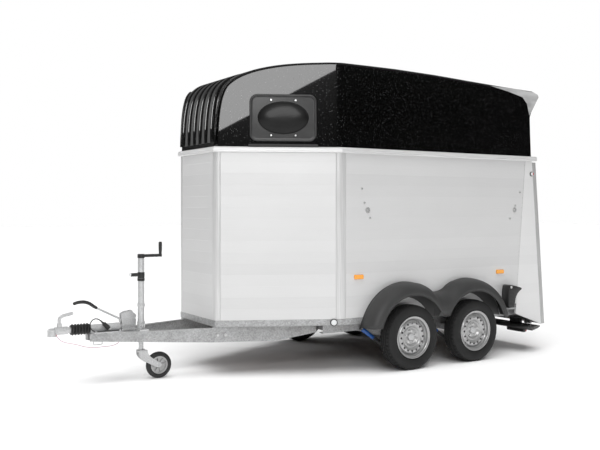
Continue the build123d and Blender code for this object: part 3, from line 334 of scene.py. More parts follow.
def colors(tree, value, *stops):
    """A colour ramp: stops are (place, (r, g, b))."""
    node = tree.nodes.new("ShaderNodeValToRGB")
    ramp = node.color_ramp
    ramp.elements[0].position, ramp.elements[0].color = stops[0][0], (*stops[0][1], 1)
    ramp.elements[1].position, ramp.elements[1].color = stops[-1][0], (*stops[-1][1], 1)
    for position, color in stops[1:-1]:
        ramp.elements.new(position).color = (*color, 1)
    tree.links.new(value, node.inputs["Fac"])
    return node.outputs["Color"]


def sums(tree, operation, first, second):
    """One step of arithmetic on values or plain numbers."""
    node = tree.nodes.new("ShaderNodeMath")
    node.operation = operation
    for socket, value in zip(node.inputs, (first, second)):
        if isinstance(value, (int, float)):
            socket.default_value = value
        else:
            tree.links.new(value, socket)
    return node.outputs["Value"]


def bump(tree, shader, height, strength=0.3, distance=0.001):
    """Fine relief, too small to model, that only tilts the light."""
    node = tree.nodes.new("ShaderNodeBump")
    node.inputs["Strength"].default_value = strength
    node.inputs["Distance"].default_value = distance
    tree.links.new(height, node.inputs["Height"])
    tree.links.new(node.outputs["Normal"], shader.inputs["Normal"])


def gray(value, blue=0.0):
    """A grey, or a slightly bluish one."""
    return (value, value * (1 + blue * 0.5), value * (1 + blue))


# %% [markdown]
# The walls are hollow aluminium planks, anodised to a satin. Drawing them through the die leaves
# lines along the plank, so the noise is stretched along it, and every plank has its own faint tone.

# %% Anodised planks and trim
PLANK = 0.1
PLANK_START = 0.503


def plank_finish(name, light, dark):
    """Satin aluminium with lines along the plank and a tone for each plank."""
    material, tree, shader = new_finish(name, gray(light), 0.25, 0.42)
    vector = place(tree, (0.6, 0.6, 60))
    lines = noise(tree, vector, 6, 3)
    cloud = noise(tree, place(tree, (1, 1, 1.6)), 1.7, 2)
    split = tree.nodes.new("ShaderNodeSeparateXYZ")
    tree.links.new(place(tree, (1, 1, 1 / PLANK), (0, 0, -PLANK_START / PLANK)), split.inputs["Vector"])
    number = sums(tree, "FLOOR", split.outputs["Z"], 0)
    tone = tree.nodes.new("ShaderNodeTexWhiteNoise")
    tone.noise_dimensions = "1D"
    tree.links.new(number, tone.inputs["W"])
    mix = sums(tree, "ADD", sums(tree, "MULTIPLY", lines, 0.35),
               sums(tree, "MULTIPLY", tone.outputs["Value"], 0.25))
    mix = sums(tree, "ADD", mix, sums(tree, "MULTIPLY", cloud, 0.3))
    tree.links.new(colors(tree, mix, (0.2, gray(dark)), (0.85, gray(light))), shader.inputs["Base Color"])
    tree.links.new(between(tree, lines, 0.34, 0.5), shader.inputs["Roughness"])
    bump(tree, shader, lines, 0.12, 0.0004)
    return material


planks = plank_finish("anodised_planks", 0.70, 0.61)
cheek_sheet = plank_finish("cheek_sheet", 0.78, 0.72)
trim_metal, tree, shader = new_finish("trim_metal", gray(0.74), 0.35, 0.36)
drawn = noise(tree, place(tree, (0.8, 0.8, 90)), 5, 3)
tree.links.new(colors(tree, drawn, (0.3, gray(0.62)), (0.7, gray(0.8))), shader.inputs["Base Color"])
bump(tree, shader, drawn, 0.1, 0.0004)
post_metal, tree, shader = new_finish("post_metal", gray(0.64), 0.4, 0.34)
drawn = noise(tree, place(tree, (60, 60, 0.8)), 3, 3)
tree.links.new(colors(tree, drawn, (0.3, gray(0.56)), (0.7, gray(0.7))), shader.inputs["Base Color"])
edge_metal, tree, shader = new_finish("edge_metal", gray(0.5), 0.45, 0.4)
drawn = noise(tree, place(tree, (50, 50, 1.5)), 3, 3)
tree.links.new(colors(tree, drawn, (0.3, gray(0.42)), (0.7, gray(0.52))), shader.inputs["Base Color"])
print("aluminium finishes ready")

# %% [markdown]
# Hot-dip zinc freezes in crystals. A Voronoi pattern gives each crystal its own grey, and a slow
# noise gives the cloudy runs where the zinc drained off.

# %% Zinc and steel
def zinc_finish(name, light, dark, size):
    """Galvanised steel whose crystals have a size."""
    material, tree, shader = new_finish(name, gray(light), 0.55, 0.45)
    vector = place(tree)
    crystals = spots(tree, vector, 1 / size, "Color")
    value = tree.nodes.new("ShaderNodeSeparateColor")
    tree.links.new(crystals, value.inputs["Color"])
    cloud = noise(tree, vector, 9, 4)
    mix = sums(tree, "ADD", sums(tree, "MULTIPLY", value.outputs["Red"], 0.45),
               sums(tree, "MULTIPLY", cloud, 0.6))
    tree.links.new(colors(tree, mix, (0.2, gray(dark)), (0.85, gray(light, 0.02))),
                   shader.inputs["Base Color"])
    tree.links.new(between(tree, value.outputs["Green"], 0.34, 0.6), shader.inputs["Roughness"])
    bump(tree, shader, cloud, 0.15, 0.001)
    return material


zinc = zinc_finish("zinc_coat", 0.50, 0.30, 0.012)
zinc_fine = zinc_finish("zinc_coat_fine", 0.68, 0.48, 0.005)
# The darker zinc copy for the parts below the body is painted shade.
zinc_shaded_copy = zinc_finish("zinc_painted_shade", 0.34, 0.18, 0.014)
bright, tree, shader = new_finish("bright_steel", gray(0.62), 0.9, 0.25)
scuffs = noise(tree, place(tree, (40, 40, 40)), 8, 4)
tree.links.new(between(tree, scuffs, 0.16, 0.4), shader.inputs["Roughness"])
wheel_paint, tree, shader = new_finish("wheel_silver", gray(0.42), 0.6, 0.3, Coat_Weight=0.4,
                                       Coat_Roughness=0.2)
grit = noise(tree, place(tree, (300, 300, 300)), 4, 3)
tree.links.new(colors(tree, grit, (0.3, gray(0.36)), (0.7, gray(0.46))), shader.inputs["Base Color"])
dark_steel, tree, shader = new_finish("dark_steel", gray(0.06), 0.3, 0.55)
grime = noise(tree, place(tree, (14, 14, 14)), 3, 5)
tree.links.new(colors(tree, grime, (0.3, gray(0.03)), (0.7, gray(0.1))), shader.inputs["Base Color"])
bump(tree, shader, grime, 0.3, 0.001)
print("steel finishes ready")

# %% [markdown]
# The hood is a laminate with a glossy near-black gel coat. Fine flecks lie in the coat, and their sparkle
# is a painted glint: tiny Voronoi cells, of which only the middles of a few are lit as painted glints. At
# full gloss the flat roof would mirror a soft box and read as white from behind, so the coat fades out where
# a face looks straight up. That a real roof is duller there is assumed, not known. The facing comes from the
# piece's own normals, which turn with the piece and don't depend on where it is seen from.

# %% Hood coat, plastics and rubber
hood_coat, tree, shader = new_finish("hood_coat", gray(0.002), 0.0, 0.25, Coat_Weight=1.0,
                                     Coat_Roughness=0.02)
shader.inputs["Specular IOR Level"].default_value = 0.06
FLECKS_PER_METRE = 90
FLECK_SIZE = 0.26  # share of its cell that a fleck fills
FLECK_RARITY = 0.72  # share of the cells that stay dark
vector = place(tree)
dots = spots(tree, vector, FLECKS_PER_METRE)
choice = tree.nodes.new("ShaderNodeSeparateColor")
tree.links.new(spots(tree, vector, FLECKS_PER_METRE, "Color"), choice.inputs["Color"])
middles = sums(tree, "LESS_THAN", dots, FLECK_SIZE)
chosen = sums(tree, "GREATER_THAN", choice.outputs["Red"], FLECK_RARITY)
# The few pale fleck middles are painted glints of the flecks, set into the base colour.
lit = sums(tree, "MULTIPLY", sums(tree, "MULTIPLY", middles, chosen), choice.outputs["Green"])
tree.links.new(colors(tree, lit, (0.0, gray(0.0015)), (1.0, gray(0.12))), shader.inputs["Base Color"])
tree.links.new(between(tree, noise(tree, vector, 2, 2), 0.2, 0.3), shader.inputs["Roughness"])
facing = tree.nodes.new("ShaderNodeTexCoord")
upward = tree.nodes.new("ShaderNodeSeparateXYZ")
tree.links.new(facing.outputs["Normal"], upward.inputs["Vector"])
SLOPED, LEVEL = 0.90, 0.98  # upward shares of a normal, between which the coat fades
FULL_COAT, WORN_COAT = 1.0, 0.03
weathering = between(tree, upward.outputs["Z"], FULL_COAT, WORN_COAT, SLOPED, LEVEL)
tree.links.new(weathering, shader.inputs["Coat Weight"])


def grained(name, light, dark, roughness, grain=900, strength=0.25):
    """Moulded plastic or rubber with a fine grain and a slow change of tone."""
    material, tree, shader = new_finish(name, gray(light), 0.0, roughness)
    vector = place(tree)
    fine = noise(tree, vector, grain, 2)
    slow = noise(tree, vector, 5, 3)
    mix = sums(tree, "ADD", sums(tree, "MULTIPLY", fine, 0.4), sums(tree, "MULTIPLY", slow, 0.6))
    tree.links.new(colors(tree, mix, (0.3, gray(dark)), (0.7, gray(light))), shader.inputs["Base Color"])
    tree.links.new(between(tree, slow, roughness - 0.06, roughness + 0.08), shader.inputs["Roughness"])
    bump(tree, shader, fine, strength, 0.0006)
    return material


guard_plastic = grained("guard_plastic", 0.040, 0.028, 0.5, 700, 0.3)
liner_plastic = grained("liner_plastic", 0.075, 0.05, 0.6, 500, 0.3)
tray_plastic = grained("tray_plastic", 0.06, 0.04, 0.5, 600, 0.25)
black_plastic = grained("black_plastic", 0.022, 0.012, 0.42, 900, 0.2)
black_rubber = grained("black_rubber", 0.02, 0.011, 0.5, 500, 0.3)
tyre_rubber = grained("tyre_rubber", 0.009, 0.005, 0.68, 400, 0.35)
mat_rubber = grained("mat_rubber", 0.03, 0.02, 0.75, 120, 0.6)
pane_plastic, tree, shader = new_finish("tinted_pane", gray(0.03), 0.0, 0.3, Coat_Weight=0.2,
                                        Coat_Roughness=0.1)
shader.inputs["Specular IOR Level"].default_value = 0.25
smears = noise(tree, place(tree), 7, 3)
tree.links.new(colors(tree, smears, (0.3, gray(0.025)), (0.7, gray(0.04))), shader.inputs["Base Color"])
# The blister's near-black colour is partly its tint and partly the dark inside behind the dome, painted in as
# shade.
dome_painted_shade, tree, shader = new_finish("dome_tint_and_painted_shade", gray(0.003), 0.0, 0.35, Coat_Weight=0.12,
                                     Coat_Roughness=0.14)
shader.inputs["Specular IOR Level"].default_value = 0.2
haze = noise(tree, place(tree), 4, 2)
tree.links.new(colors(tree, haze, (0.3, gray(0.003)), (0.7, gray(0.008))), shader.inputs["Base Color"])
print("hood, plastic and rubber finishes ready")

# %% [markdown]
# Lamps have coloured lenses over ribbed reflectors, the dampers are enamelled blue, and inside there
# are phenolic plywood, padded vinyl and coated cloth.

# %% Lenses, enamel, wood and cloth
def lens_finish(name, color, deep):
    """A clear coloured lens with ribs inside."""
    material, tree, shader = new_finish(name, color, 0.0, 0.12, Coat_Weight=0.8, Coat_Roughness=0.05)
    ribs = tree.nodes.new("ShaderNodeTexWave")
    ribs.inputs["Scale"].default_value = 60
    tree.links.new(place(tree), ribs.inputs["Vector"])
    tree.links.new(colors(tree, ribs.outputs["Fac"], (0.0, deep), (1.0, color)), shader.inputs["Base Color"])
    bump(tree, shader, ribs.outputs["Fac"], 0.2, 0.0008)
    return material


amber_lens = lens_finish("amber_lens", (0.95, 0.42, 0.02), (0.8, 0.27, 0.01))
red_lens = lens_finish("red_lens", (0.6, 0.02, 0.02), (0.35, 0.01, 0.01))
clear_lens = lens_finish("clear_lens", (0.85, 0.86, 0.86), (0.6, 0.62, 0.63))
blue_enamel, tree, shader = new_finish("blue_enamel", (0.01, 0.1, 0.42), 0.0, 0.3, Coat_Weight=0.6)
worn = noise(tree, place(tree), 30, 4)
tree.links.new(colors(tree, worn, (0.3, (0.008, 0.07, 0.3)), (0.7, (0.015, 0.13, 0.5))),
               shader.inputs["Base Color"])
plywood, tree, shader = new_finish("phenolic_plywood", (0.1, 0.05, 0.03), 0.0, 0.45)
grain = noise(tree, place(tree, (2, 30, 30)), 4, 5)
tree.links.new(colors(tree, grain, (0.3, (0.06, 0.03, 0.02)), (0.7, (0.14, 0.08, 0.05))),
               shader.inputs["Base Color"])
vinyl, tree, shader = new_finish("padded_vinyl", gray(0.05), 0.0, 0.48, Sheen_Weight=0.2)
hide = spots(tree, place(tree), 260)
tree.links.new(colors(tree, hide, (0.0, gray(0.035)), (0.7, gray(0.065))), shader.inputs["Base Color"])
bump(tree, shader, hide, 0.3, 0.0008)
curtain_cloth, tree, shader = new_finish("curtain_cloth", gray(0.045), 0.0, 0.8, Sheen_Weight=0.3)
weave = [tree.nodes.new("ShaderNodeTexWave") for _ in range(2)]
for thread, direction in zip(weave, ("Y", "Z")):
    thread.bands_direction = direction
    thread.inputs["Scale"].default_value = 160
    tree.links.new(place(tree), thread.inputs["Vector"])
cloth_height = sums(tree, "MULTIPLY", weave[0].outputs["Fac"], weave[1].outputs["Fac"])
tree.links.new(colors(tree, cloth_height, (0.0, gray(0.03)), (1.0, gray(0.07))), shader.inputs["Base Color"])
bump(tree, shader, cloth_height, 0.4, 0.0008)
jacket, tree, shader = new_finish("cable_jacket", gray(0.02), 0.0, 0.4)
tree.links.new(between(tree, noise(tree, place(tree), 200, 2), 0.34, 0.48), shader.inputs["Roughness"])
red_jacket, tree, shader = new_finish("red_sleeve", (0.4, 0.03, 0.04), 0.0, 0.35)
twist = tree.nodes.new("ShaderNodeTexWave")
twist.inputs["Scale"].default_value = 45
tree.links.new(place(tree, (1, 1, 0.6)), twist.inputs["Vector"])
tree.links.new(colors(tree, twist.outputs["Fac"], (0.15, (0.1, 0.12, 0.4)), (0.3, (0.42, 0.04, 0.06))),
               shader.inputs["Base Color"])
print("remaining finishes ready")

# %% [markdown]
# ## The walls
# A wall is a stack of hollow planks with a small V joint between them. The joint's profile is swept
# along the wall, so the joints are real grooves that catch the light. The rear edge of each side
# wall follows the slanted seam, so the swept wall is cut there with a plane.

# %% Plank walls
GROOVE = (0.0009, 0.0018)  # depth and half width of a plank joint


def plank_section(low, high):
    """Heights and depths of a stack of planks' outer face."""
    section = [(low, 0.0)]
    joint = PLANK_START + PLANK
    while joint < high - 0.01:
        if joint > low + 0.01:
            section += [(joint - GROOVE[1], 0.0), (joint, -GROOVE[0]), (joint + GROOVE[1], 0.0)]
        joint += PLANK
    return section + [(high, 0.0)]


def plank_wall(bm, start, end, out, low, high):
    """A straight wall of planks between two points seen from above."""
    out = Vector(out).normalized()
    section = plank_section(low, high)
    rows = []
    for x, y in (start, end):
        foot = Vector((x, y, 0))
        row = [foot + out * depth + Vector((0, 0, z)) for z, depth in section]
        row += [foot - out * WALL + Vector((0, 0, z)) for z in (high, low)]
        rows.append(row)
    sweep(bm, rows)


def cut(bm, point, normal):
    """Cuts everything on the normal's side of a plane off, and closes the cut."""
    geom = bm.verts[:] + bm.edges[:] + bm.faces[:]
    made = bmesh.ops.bisect_plane(bm, geom=geom, dist=1e-6, plane_co=point, plane_no=normal, clear_outer=True)
    edges = [g for g in made["geom_cut"] if isinstance(g, bmesh.types.BMEdge)]
    bmesh.ops.holes_fill(bm, edges=edges, sides=0)


WALL_LOW, WALL_HIGH = wall_low.z, wall_high.z
POST = 0.05
seam_normal = Vector((SEAM_TOP.z - SEAM_LOW.z, 0, SEAM_LOW.x - SEAM_TOP.x)).normalized()
for side_name, side in SIDES.items():
    bm = bmesh.new()
    face_y = side * HALF_WIDTH
    plank_wall(bm, (SHOULDER_X + POST, face_y), (2.4, face_y), (0, side, 0), WALL_LOW, WALL_HIGH)
    cut(bm, SEAM_TOP - Vector((0.002, 0, 0)), seam_normal)
    finish_piece(f"side_planks_{side_name}", bm, planks, "chassis", "side_walls",
                 smooth=12)
    bm = bmesh.new()
    first = slant_frame(side, POST, 0, 0)
    last = slant_frame(side, SLANT_LENGTH - POST, 0, 0)
    plank_wall(bm, first[0].xy, last[0].xy, first[3], WALL_LOW, WALL_HIGH)
    finish_piece(f"slanted_planks_{side_name}", bm, planks, "chassis", "front_walls",
                 smooth=12)
bm = bmesh.new()
plank_wall(bm, (NOSE_X, -NOSE_HALF + POST), (NOSE_X, NOSE_HALF - POST), (-1, 0, 0), WALL_LOW, WALL_HIGH)
finish_piece("nose_planks", bm, planks, "chassis", "front_walls", smooth=12)
print("plank walls made")

# %% [markdown]
# Wide rounded extrusions stand on the four front corners. Each one hugs both walls, bulges a little
# in front of them, and has a fine groove near each edge.

# %% Corner posts
POST_BULGE = 0.003
POST_ROUND = 0.03
POST_REACH = POST - 0.0005
POST_GROOVE = POST_BULGE - 0.0016
POST_STEPS = (  # share of the reach and height above the wall, from the edge inwards
    (1.0, 0.0005), (0.86, POST_BULGE), (0.84, POST_GROOVE), (0.82, POST_BULGE), (0.7, POST_BULGE),
)


def corner_post(name, x, y, first_dir, second_dir):
    """A rounded post: its section runs along one wall, round the corner and along the other."""
    corner = Vector((x, y, 0))
    one, two = Vector(first_dir).normalized(), Vector(second_dir).normalized()
    outward = -(one + two).normalized()
    normals = [outward - d * outward.dot(d) for d in (one, two)]
    normals = [n.normalized() for n in normals]
    section = [corner + one * POST_REACH * share + normals[0] * height for share, height in POST_STEPS]
    a = corner + one * POST_ROUND + normals[0] * POST_BULGE
    c = corner + two * POST_ROUND + normals[1] * POST_BULGE
    b = corner + outward * POST_BULGE
    for k in range(9):
        t = k / 8
        section.append(a * (1 - t) ** 2 + b * 2 * t * (1 - t) + c * t * t)
    for share, height in reversed(POST_STEPS):
        section.append(corner + two * POST_REACH * share + normals[1] * height)
    inner = [
        corner + two * POST_REACH - normals[1] * WALL, corner - outward * WALL,
        corner + one * POST_REACH - normals[0] * WALL,
    ]
    rows = [[p + Vector((0, 0, z)) for p in section + inner] for z in (WALL_LOW, WALL_HIGH)]
    bm = bmesh.new()
    sweep(bm, rows)
    finish_piece(name, bm, post_metal, "chassis", "corner_posts", smooth=28)


for side_name, side in SIDES.items():
    back = Vector((cos(SLANT), side * sin(SLANT), 0))
    corner_post(f"nose_post_{side_name}", NOSE_X, side * NOSE_HALF, (0, -side, 0), back)
    corner_post(f"shoulder_post_{side_name}", SHOULDER_X, side * HALF_WIDTH, -back, (1, 0, 0))
print("corner posts made")

# %% [markdown]
# A drawn strip runs round the body below the hood and sheds the rain. Its profile has a drip lip
# below and two fine lines, and it is swept along the body's outline with mitred corners.

# %% Strip below the hood and base rail
def body_line(out, rear_x):
    """Plan of the body's outline moved outwards, from the left rear corner round to the right."""
    side_y = HALF_WIDTH + out
    shoulder = SHOULDER_X - out * tan(SLANT / 2)
    nose_y = NOSE_HALF + out * tan((pi / 2 - SLANT) / 2)
    half = [(rear_x, -side_y), (shoulder, -side_y), (NOSE_X - out, -nose_y)]
    return half + [(x, -y) for x, y in reversed(half)]


def band(bm, section, rear_x):
    """Sweeps a section of (out, z) round the body."""
    lines = [body_line(out, rear_x) for out, _ in section]
    rows = [[Vector((*lines[i][k], z)) for i, (_, z) in enumerate(section)] for k in range(6)]
    sweep(bm, rows)


TRIM = (trim_low.z, trim_high.z)
TRIM_REAR = trim_high.x
trim_section = [
    (0.0005, TRIM[0]), (0.018, TRIM[0]), (0.022, TRIM[0] + 0.004), (0.022, TRIM[0] + 0.012),
    (0.0205, TRIM[0] + 0.0135), (0.022, TRIM[0] + 0.015), (0.022, TRIM[0] + 0.031), (0.0195, TRIM[0] + 0.033),
    (0.0195, TRIM[0] + 0.036), (0.016, TRIM[1] - 0.006), (0.004, TRIM[1]), (-WALL, TRIM[1]), (-WALL, TRIM[0]),
]
bm = bmesh.new()
band(bm, trim_section, TRIM_REAR)
header_y = HALF_WIDTH - WALL - 0.0003
add_box(bm, (2.255, -header_y, TRIM[0]), (TRIM_REAR, header_y, TRIM[1]), 0.004)
finish_piece("roof_strip", bm, trim_metal, "chassis", "top_trim", smooth=25)
RAIL = (rail_low.z, rail_high.z)
rail_section = [
    (-0.003, RAIL[0]), (0.0, RAIL[0] + 0.003), (0.0, RAIL[1] - 0.004), (-0.002, RAIL[1]), (-0.035, RAIL[1]),
    (-0.0355, RAIL[0]),
]
bm = bmesh.new()
band(bm, rail_section, rail_high.x)
finish_piece("zinc_base_rail", bm, zinc, "chassis", "base_rails", smooth=25)
print("strip and base rail made")

# %% [markdown]
# Slot-headed rivets hold the base rail to the planks, in a row all round. One small bmesh shape is
# copied along the rail.

# %% Rivets and seam strip
bm = bmesh.new()
RIVET_PITCH = 0.19
BODY_MIDDLE = Vector((0.9, 0, 0.4))
line = body_line(0, 1.98)
for first, last in zip(line, line[1:]):
    a, b = Vector((*first, 0)), Vector((*last, 0))
    out = (b - a).cross(Vector((0, 0, 1))).normalized()
    out = -out if out.dot((a + b) / 2) < 0 and abs(out.y) > 0.1 else out
    count = max(2, round((b - a).length / RIVET_PITCH))
    for k in range(count):
        spot = a.lerp(b, (k + 0.5) / count) + Vector((0, 0, RAIL[0] + 0.034))
        farther = (spot + out - BODY_MIDDLE).length > (spot - out - BODY_MIDDLE).length
        out_dir = out if farther else -out
        add_disc(bm, spot, spot + out_dir * 0.004, 0.007, 0.002, 10)
finish_piece("rail_rivets", bm, bright, "chassis", smooth=40)
for side_name, side in SIDES.items():
    bm = bmesh.new()
    low = SEAM_LOW + Vector((-0.002, side * (HALF_WIDTH - 0.012), 0.06))
    high = SEAM_TOP + Vector((-0.002, side * (HALF_WIDTH - 0.012), 0.01))
    add_tube(bm, [low, high], [0.0118, 0.0118], 12)
    for share in (0.06, 0.15, 0.38, 0.68, 0.97):
        spot = low.lerp(high, share) + Vector((0, side * 0.0085, 0))
        add_disc(bm, spot, spot + Vector((0, side * 0.005, 0)), 0.006, 0.0015, 10, material=1)
    finish_piece(f"seam_gasket_{side_name}", bm, [black_rubber, bright], "chassis", smooth=40)
print("rivets and seam gaskets made")

# %% [markdown]
# The cheeks close the wedge between the wall and the ramp. They are plain folded sheets, so a plate
# with small folded edges is enough.

# %% Cheeks and ramp
CHEEK_HIGH_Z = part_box("rear_cheeks")[1].z


def along(low, high, z, offset=0.0):
    """A point on a slanted line of the side view, at a height."""
    share = (z - low.z) / (high.z - low.z)
    return Vector((low.x + share * (high.x - low.x) + offset, 0, z))


bm = bmesh.new()
for side in SIDES.values():
    start = side * (HALF_WIDTH - WALL)
    outline = [
        along(SEAM_LOW, SEAM_TOP, CHEEK_HIGH_Z, 0.001), along(SEAM_LOW, SEAM_TOP, SEAM_LOW.z, 0.001),
        along(CHEEK_LOW, CHEEK_TOP, CHEEK_LOW.z), along(CHEEK_LOW, CHEEK_TOP, CHEEK_HIGH_Z),
    ]
    add_plate(bm, outline, start * side, WALL, (0, side, 0), 0.003, 2)
cheeks = finish_piece("cheek_sheets", bm, cheek_sheet, "chassis", "rear_cheeks", smooth=30)
keep_flat(cheeks)

_, ramp_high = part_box("ramp_panel")
RAMP_LOW_Z, RAMP_HIGH_Z = 0.266, 1.976
ramp_foot = along(CHEEK_LOW, CHEEK_TOP, RAMP_LOW_Z)
ramp_head = along(CHEEK_LOW, CHEEK_TOP, RAMP_HIGH_Z)
RAMP_UP = (ramp_head - ramp_foot).normalized()
RAMP_OUT = Vector((RAMP_UP.z, 0, -RAMP_UP.x))
RAMP_THICK = (along(CHEEK_LOW, CHEEK_TOP, RAMP_LOW_Z) - Vector((ramp_high.x, 0, RAMP_LOW_Z))).length
EDGE = 0.028
print("ramp thickness", round(RAMP_THICK, 4))
bm = bmesh.new()
steps = [0.0]
while steps[-1] < (RAMP_HIGH_Z - RAMP_LOW_Z) - 0.05:
    steps.append(steps[-1] + PLANK)
rows = []
for y in (-HALF_WIDTH + EDGE, HALF_WIDTH - EDGE):
    row = []
    for z in steps:
        for dz, depth in ((0, GROOVE[0]), (GROOVE[1], 0)) if z else ((0.0, 0.0),):
            if z:
                row.append(along(CHEEK_LOW, CHEEK_TOP, RAMP_LOW_Z + z - GROOVE[1] + dz, RAMP_THICK - depth))
            else:
                row.append(along(CHEEK_LOW, CHEEK_TOP, RAMP_LOW_Z, RAMP_THICK))
    row.append(along(CHEEK_LOW, CHEEK_TOP, RAMP_HIGH_Z, RAMP_THICK))
    row.append(along(CHEEK_LOW, CHEEK_TOP, RAMP_HIGH_Z, 0.001))
    row.append(along(CHEEK_LOW, CHEEK_TOP, RAMP_LOW_Z, 0.001))
    rows.append([p + Vector((0, y, 0)) for p in row])
sweep(bm, rows)
finish_piece("ramp_planks", bm, planks, "ramp", "ramp_panel", smooth=12)

bm = bmesh.new()
for side in SIDES.values():
    rows = []
    for foot in (ramp_foot, ramp_head):
        middle = foot + Vector((RAMP_THICK / 2, side * (HALF_WIDTH - EDGE / 2), 0))
        half_x, half_y = RAMP_THICK / 2 - 0.0004, EDGE / 2 - 0.0004
        rows.append([middle + Vector((x, y, 0))
                     for x, y in rounded_rectangle(2 * half_x, 2 * half_y, 0.006, 3)])
    sweep(bm, rows)
add_box(bm, (ramp_head.x + 0.002, -HALF_WIDTH + EDGE, RAMP_HIGH_Z - 0.03),
        (ramp_head.x + RAMP_THICK - 0.001, HALF_WIDTH - EDGE, RAMP_HIGH_Z - 0.001), 0.004)
finish_piece("ramp_edges", bm, edge_metal, "ramp", smooth=30)
print("cheeks and ramp made")

# %% [markdown]
# ## Cords on the drawbar
# Two cords belong to the drawbar. The supply cable leaves its gland, lies along the housing's foot and
# rises in one arch to its parked plug. The thin breakaway cable hangs from a lug on the coupling head
# to a guide post. Each is one smooth spline through a few given points, because a stiff
# jacket never makes corners.

# %% Supply cable and its plug
def cord_spline(name, route):
    """A smooth curve object whose control points are the cord's route."""
    curve = bpy.data.curves.new(name, "CURVE")
    curve.dimensions = "3D"
    spline = curve.splines.new("NURBS")
    spline.points.add(len(route) - 1)
    for point, spot in zip(spline.points, route):
        point.co = (*spot, 1)
    spline.order_u = 3
    spline.use_endpoint_u = True
    spline.resolution_u = 10
    cord = bpy.data.objects.new(name, curve)
    bpy.context.scene.collection.objects.link(cord)
    return cord


SUPPLY_ROUTE = [
    (-1.896, -0.096, 0.4465), (-1.948, -0.096, 0.4465), (-2.008, -0.0975, 0.4478),
    (-2.072, -0.092, 0.4482), (-2.134, -0.086, 0.447), (-2.165, -0.079, 0.478), (-2.1654, -0.072, 0.522),
    (-2.1344, -0.066, 0.5535), (-2.0903, -0.062, 0.5534), (-2.05882, -0.062, 0.52266),
]
PLUG_AXIS = Vector((0.71538, 0, -0.69874))
supply = cord_spline("supply_lead", SUPPLY_ROUTE)
supply.data.bevel_depth = 0.0045
supply.data.bevel_resolution = 4
supply.data.use_fill_caps = True
supply.data.materials.append(jacket)
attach(supply, "chassis")
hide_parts("supply_cable")

bm = bmesh.new()
plug_section = [
    (-0.018, 0), (-0.018, 0.0056), (0.004, 0.0075), (0.018, 0.0105), (0.02, 0.0165), (0.03, 0.019),
    (0.034, 0.0172), (0.038, 0.0192), (0.042, 0.0172), (0.046, 0.0192), (0.05, 0.0172), (0.055, 0.02),
    (0.08, 0.02), (0.084, 0.018), (0.084, 0),
]
add_turned(bm, plug_section, SUPPLY_ROUTE[-1], PLUG_AXIS, 40)
side_of_plug = Vector(SUPPLY_ROUTE[-1]) + PLUG_AXIS * 0.066
add_disc(bm, side_of_plug, side_of_plug + Vector((0, -0.024, 0)), 0.005, 0.001, 16)
finish_piece("supply_plug", bm, black_plastic, "chassis", "connector_plug", smooth=30)
print("supply cable and plug made")

# %% [markdown]
# The breakaway cable crosses the sliding draw shaft, so it has to give way when the coupling moves in.
# It is a mesh tube along the same kind of spline, and it rides on neither body.

# %% Breakaway cable
BREAKAWAY_ROUTE = [
    (-2.440, -0.046, 0.442), (-2.440, -0.06566, 0.42824), (-2.418, -0.074, 0.398),
    (-2.372, -0.076, 0.374), (-2.320, -0.075, 0.362), (-2.268, -0.076, 0.347), (-2.220, -0.075, 0.328),
    (-2.166, -0.076, 0.316), (-2.108, -0.075, 0.311), (-2.052, -0.072, 0.313), (-1.998, -0.066, 0.311),
    (-1.944, -0.058, 0.316), (-1.900, -0.050, 0.336), (-1.900, -0.050, 0.370),
]
guide = cord_spline("breakaway_route", BREAKAWAY_ROUTE)
bpy.context.view_layer.update()
line_mesh = bpy.data.meshes.new_from_object(guide)
line = [v.co.copy() for v in line_mesh.vertices]
bpy.data.objects.remove(guide)
bpy.data.meshes.remove(line_mesh)
bm = bmesh.new()
add_tube(bm, line, [0.0022] * len(line), 10)
breakaway = finish_piece("breakaway_line", bm, red_jacket, None, "breakaway_cable", smooth=60)
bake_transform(breakaway)
print("breakaway cable points", len(line))

# %% [markdown]
# ## The hood
# The hood is one thin laminate shell: a nose that curves back into a long flat roof, a soft corner at
# each shoulder, rounded roof edges and a lip at the tail. It starts as the side view stretched across
# the width, is cut by the slanted planes, and its edges are bevelled before it gets its thickness.

# %% Hood shell
HOOD_INSET = 0.004
_, hood_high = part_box("hood")
ROOF_Z = hood_high.z
HOOD_Y = hood_high.y
HOOD_NOSE_X = NOSE_X + HOOD_INSET
NOSE_LINE = [
    (HOOD_NOSE_X, TRIM[1]), (-1.139, 2.16), (-1.131, 2.29), (-1.118, 2.40), (-1.098, 2.49), (-1.062, 2.575),
    (-0.99, 2.645), (-0.90, 2.695), (-0.78, 2.737), (-0.62, 2.770), (-0.44, 2.789), (-0.235, 2.799),
]


def cut_slants(bm, inset):
    """Cuts the slanted front walls' planes, moved inwards, off a form."""
    for side in SIDES.values():
        origin, _, _, normal = slant_frame(side, 0, 0, -inset)
        cut(bm, origin, normal)


def mark_edges(bm, wanted):
    """The edges that a test on middle and edge picks."""
    return [e for e in bm.edges if wanted((e.verts[0].co + e.verts[1].co) / 2, e)]


def round_edges(bm, edges, radius, segments):
    """Bevels edges round, even where the bevel runs past a short neighbour."""
    bmesh.ops.bevel(bm, geom=edges, offset=radius, offset_type="OFFSET", segments=segments, profile=0.5,
                    affect="EDGES", material=-1, clamp_overlap=False)


nose = smooth_line([(x, 0, z) for x, z in NOSE_LINE], 3)
roof = [(0.16, 2.8), (0.49, 2.799), (0.98, 2.786), (1.461, 2.764), (1.9, 2.745), (2.33, 2.731)]
tail = [(2.411, 2.7), (2.409, 2.666), (2.365, 2.60), (2.30, 2.505), (2.278, 2.45), (2.286, 2.24),
        (2.296, TRIM[1])]
side_view = [Vector((p.x, 0, min(p.z, ROOF_Z))) for p in nose] + [Vector((x, 0, z)) for x, z in roof + tail]
bm = bmesh.new()
add_plate(bm, side_view, -HOOD_Y, 2 * HOOD_Y, (0, 1, 0))
cut_slants(bm, HOOD_INSET)
bmesh.ops.remove_doubles(bm, verts=bm.verts[:], dist=1e-5)


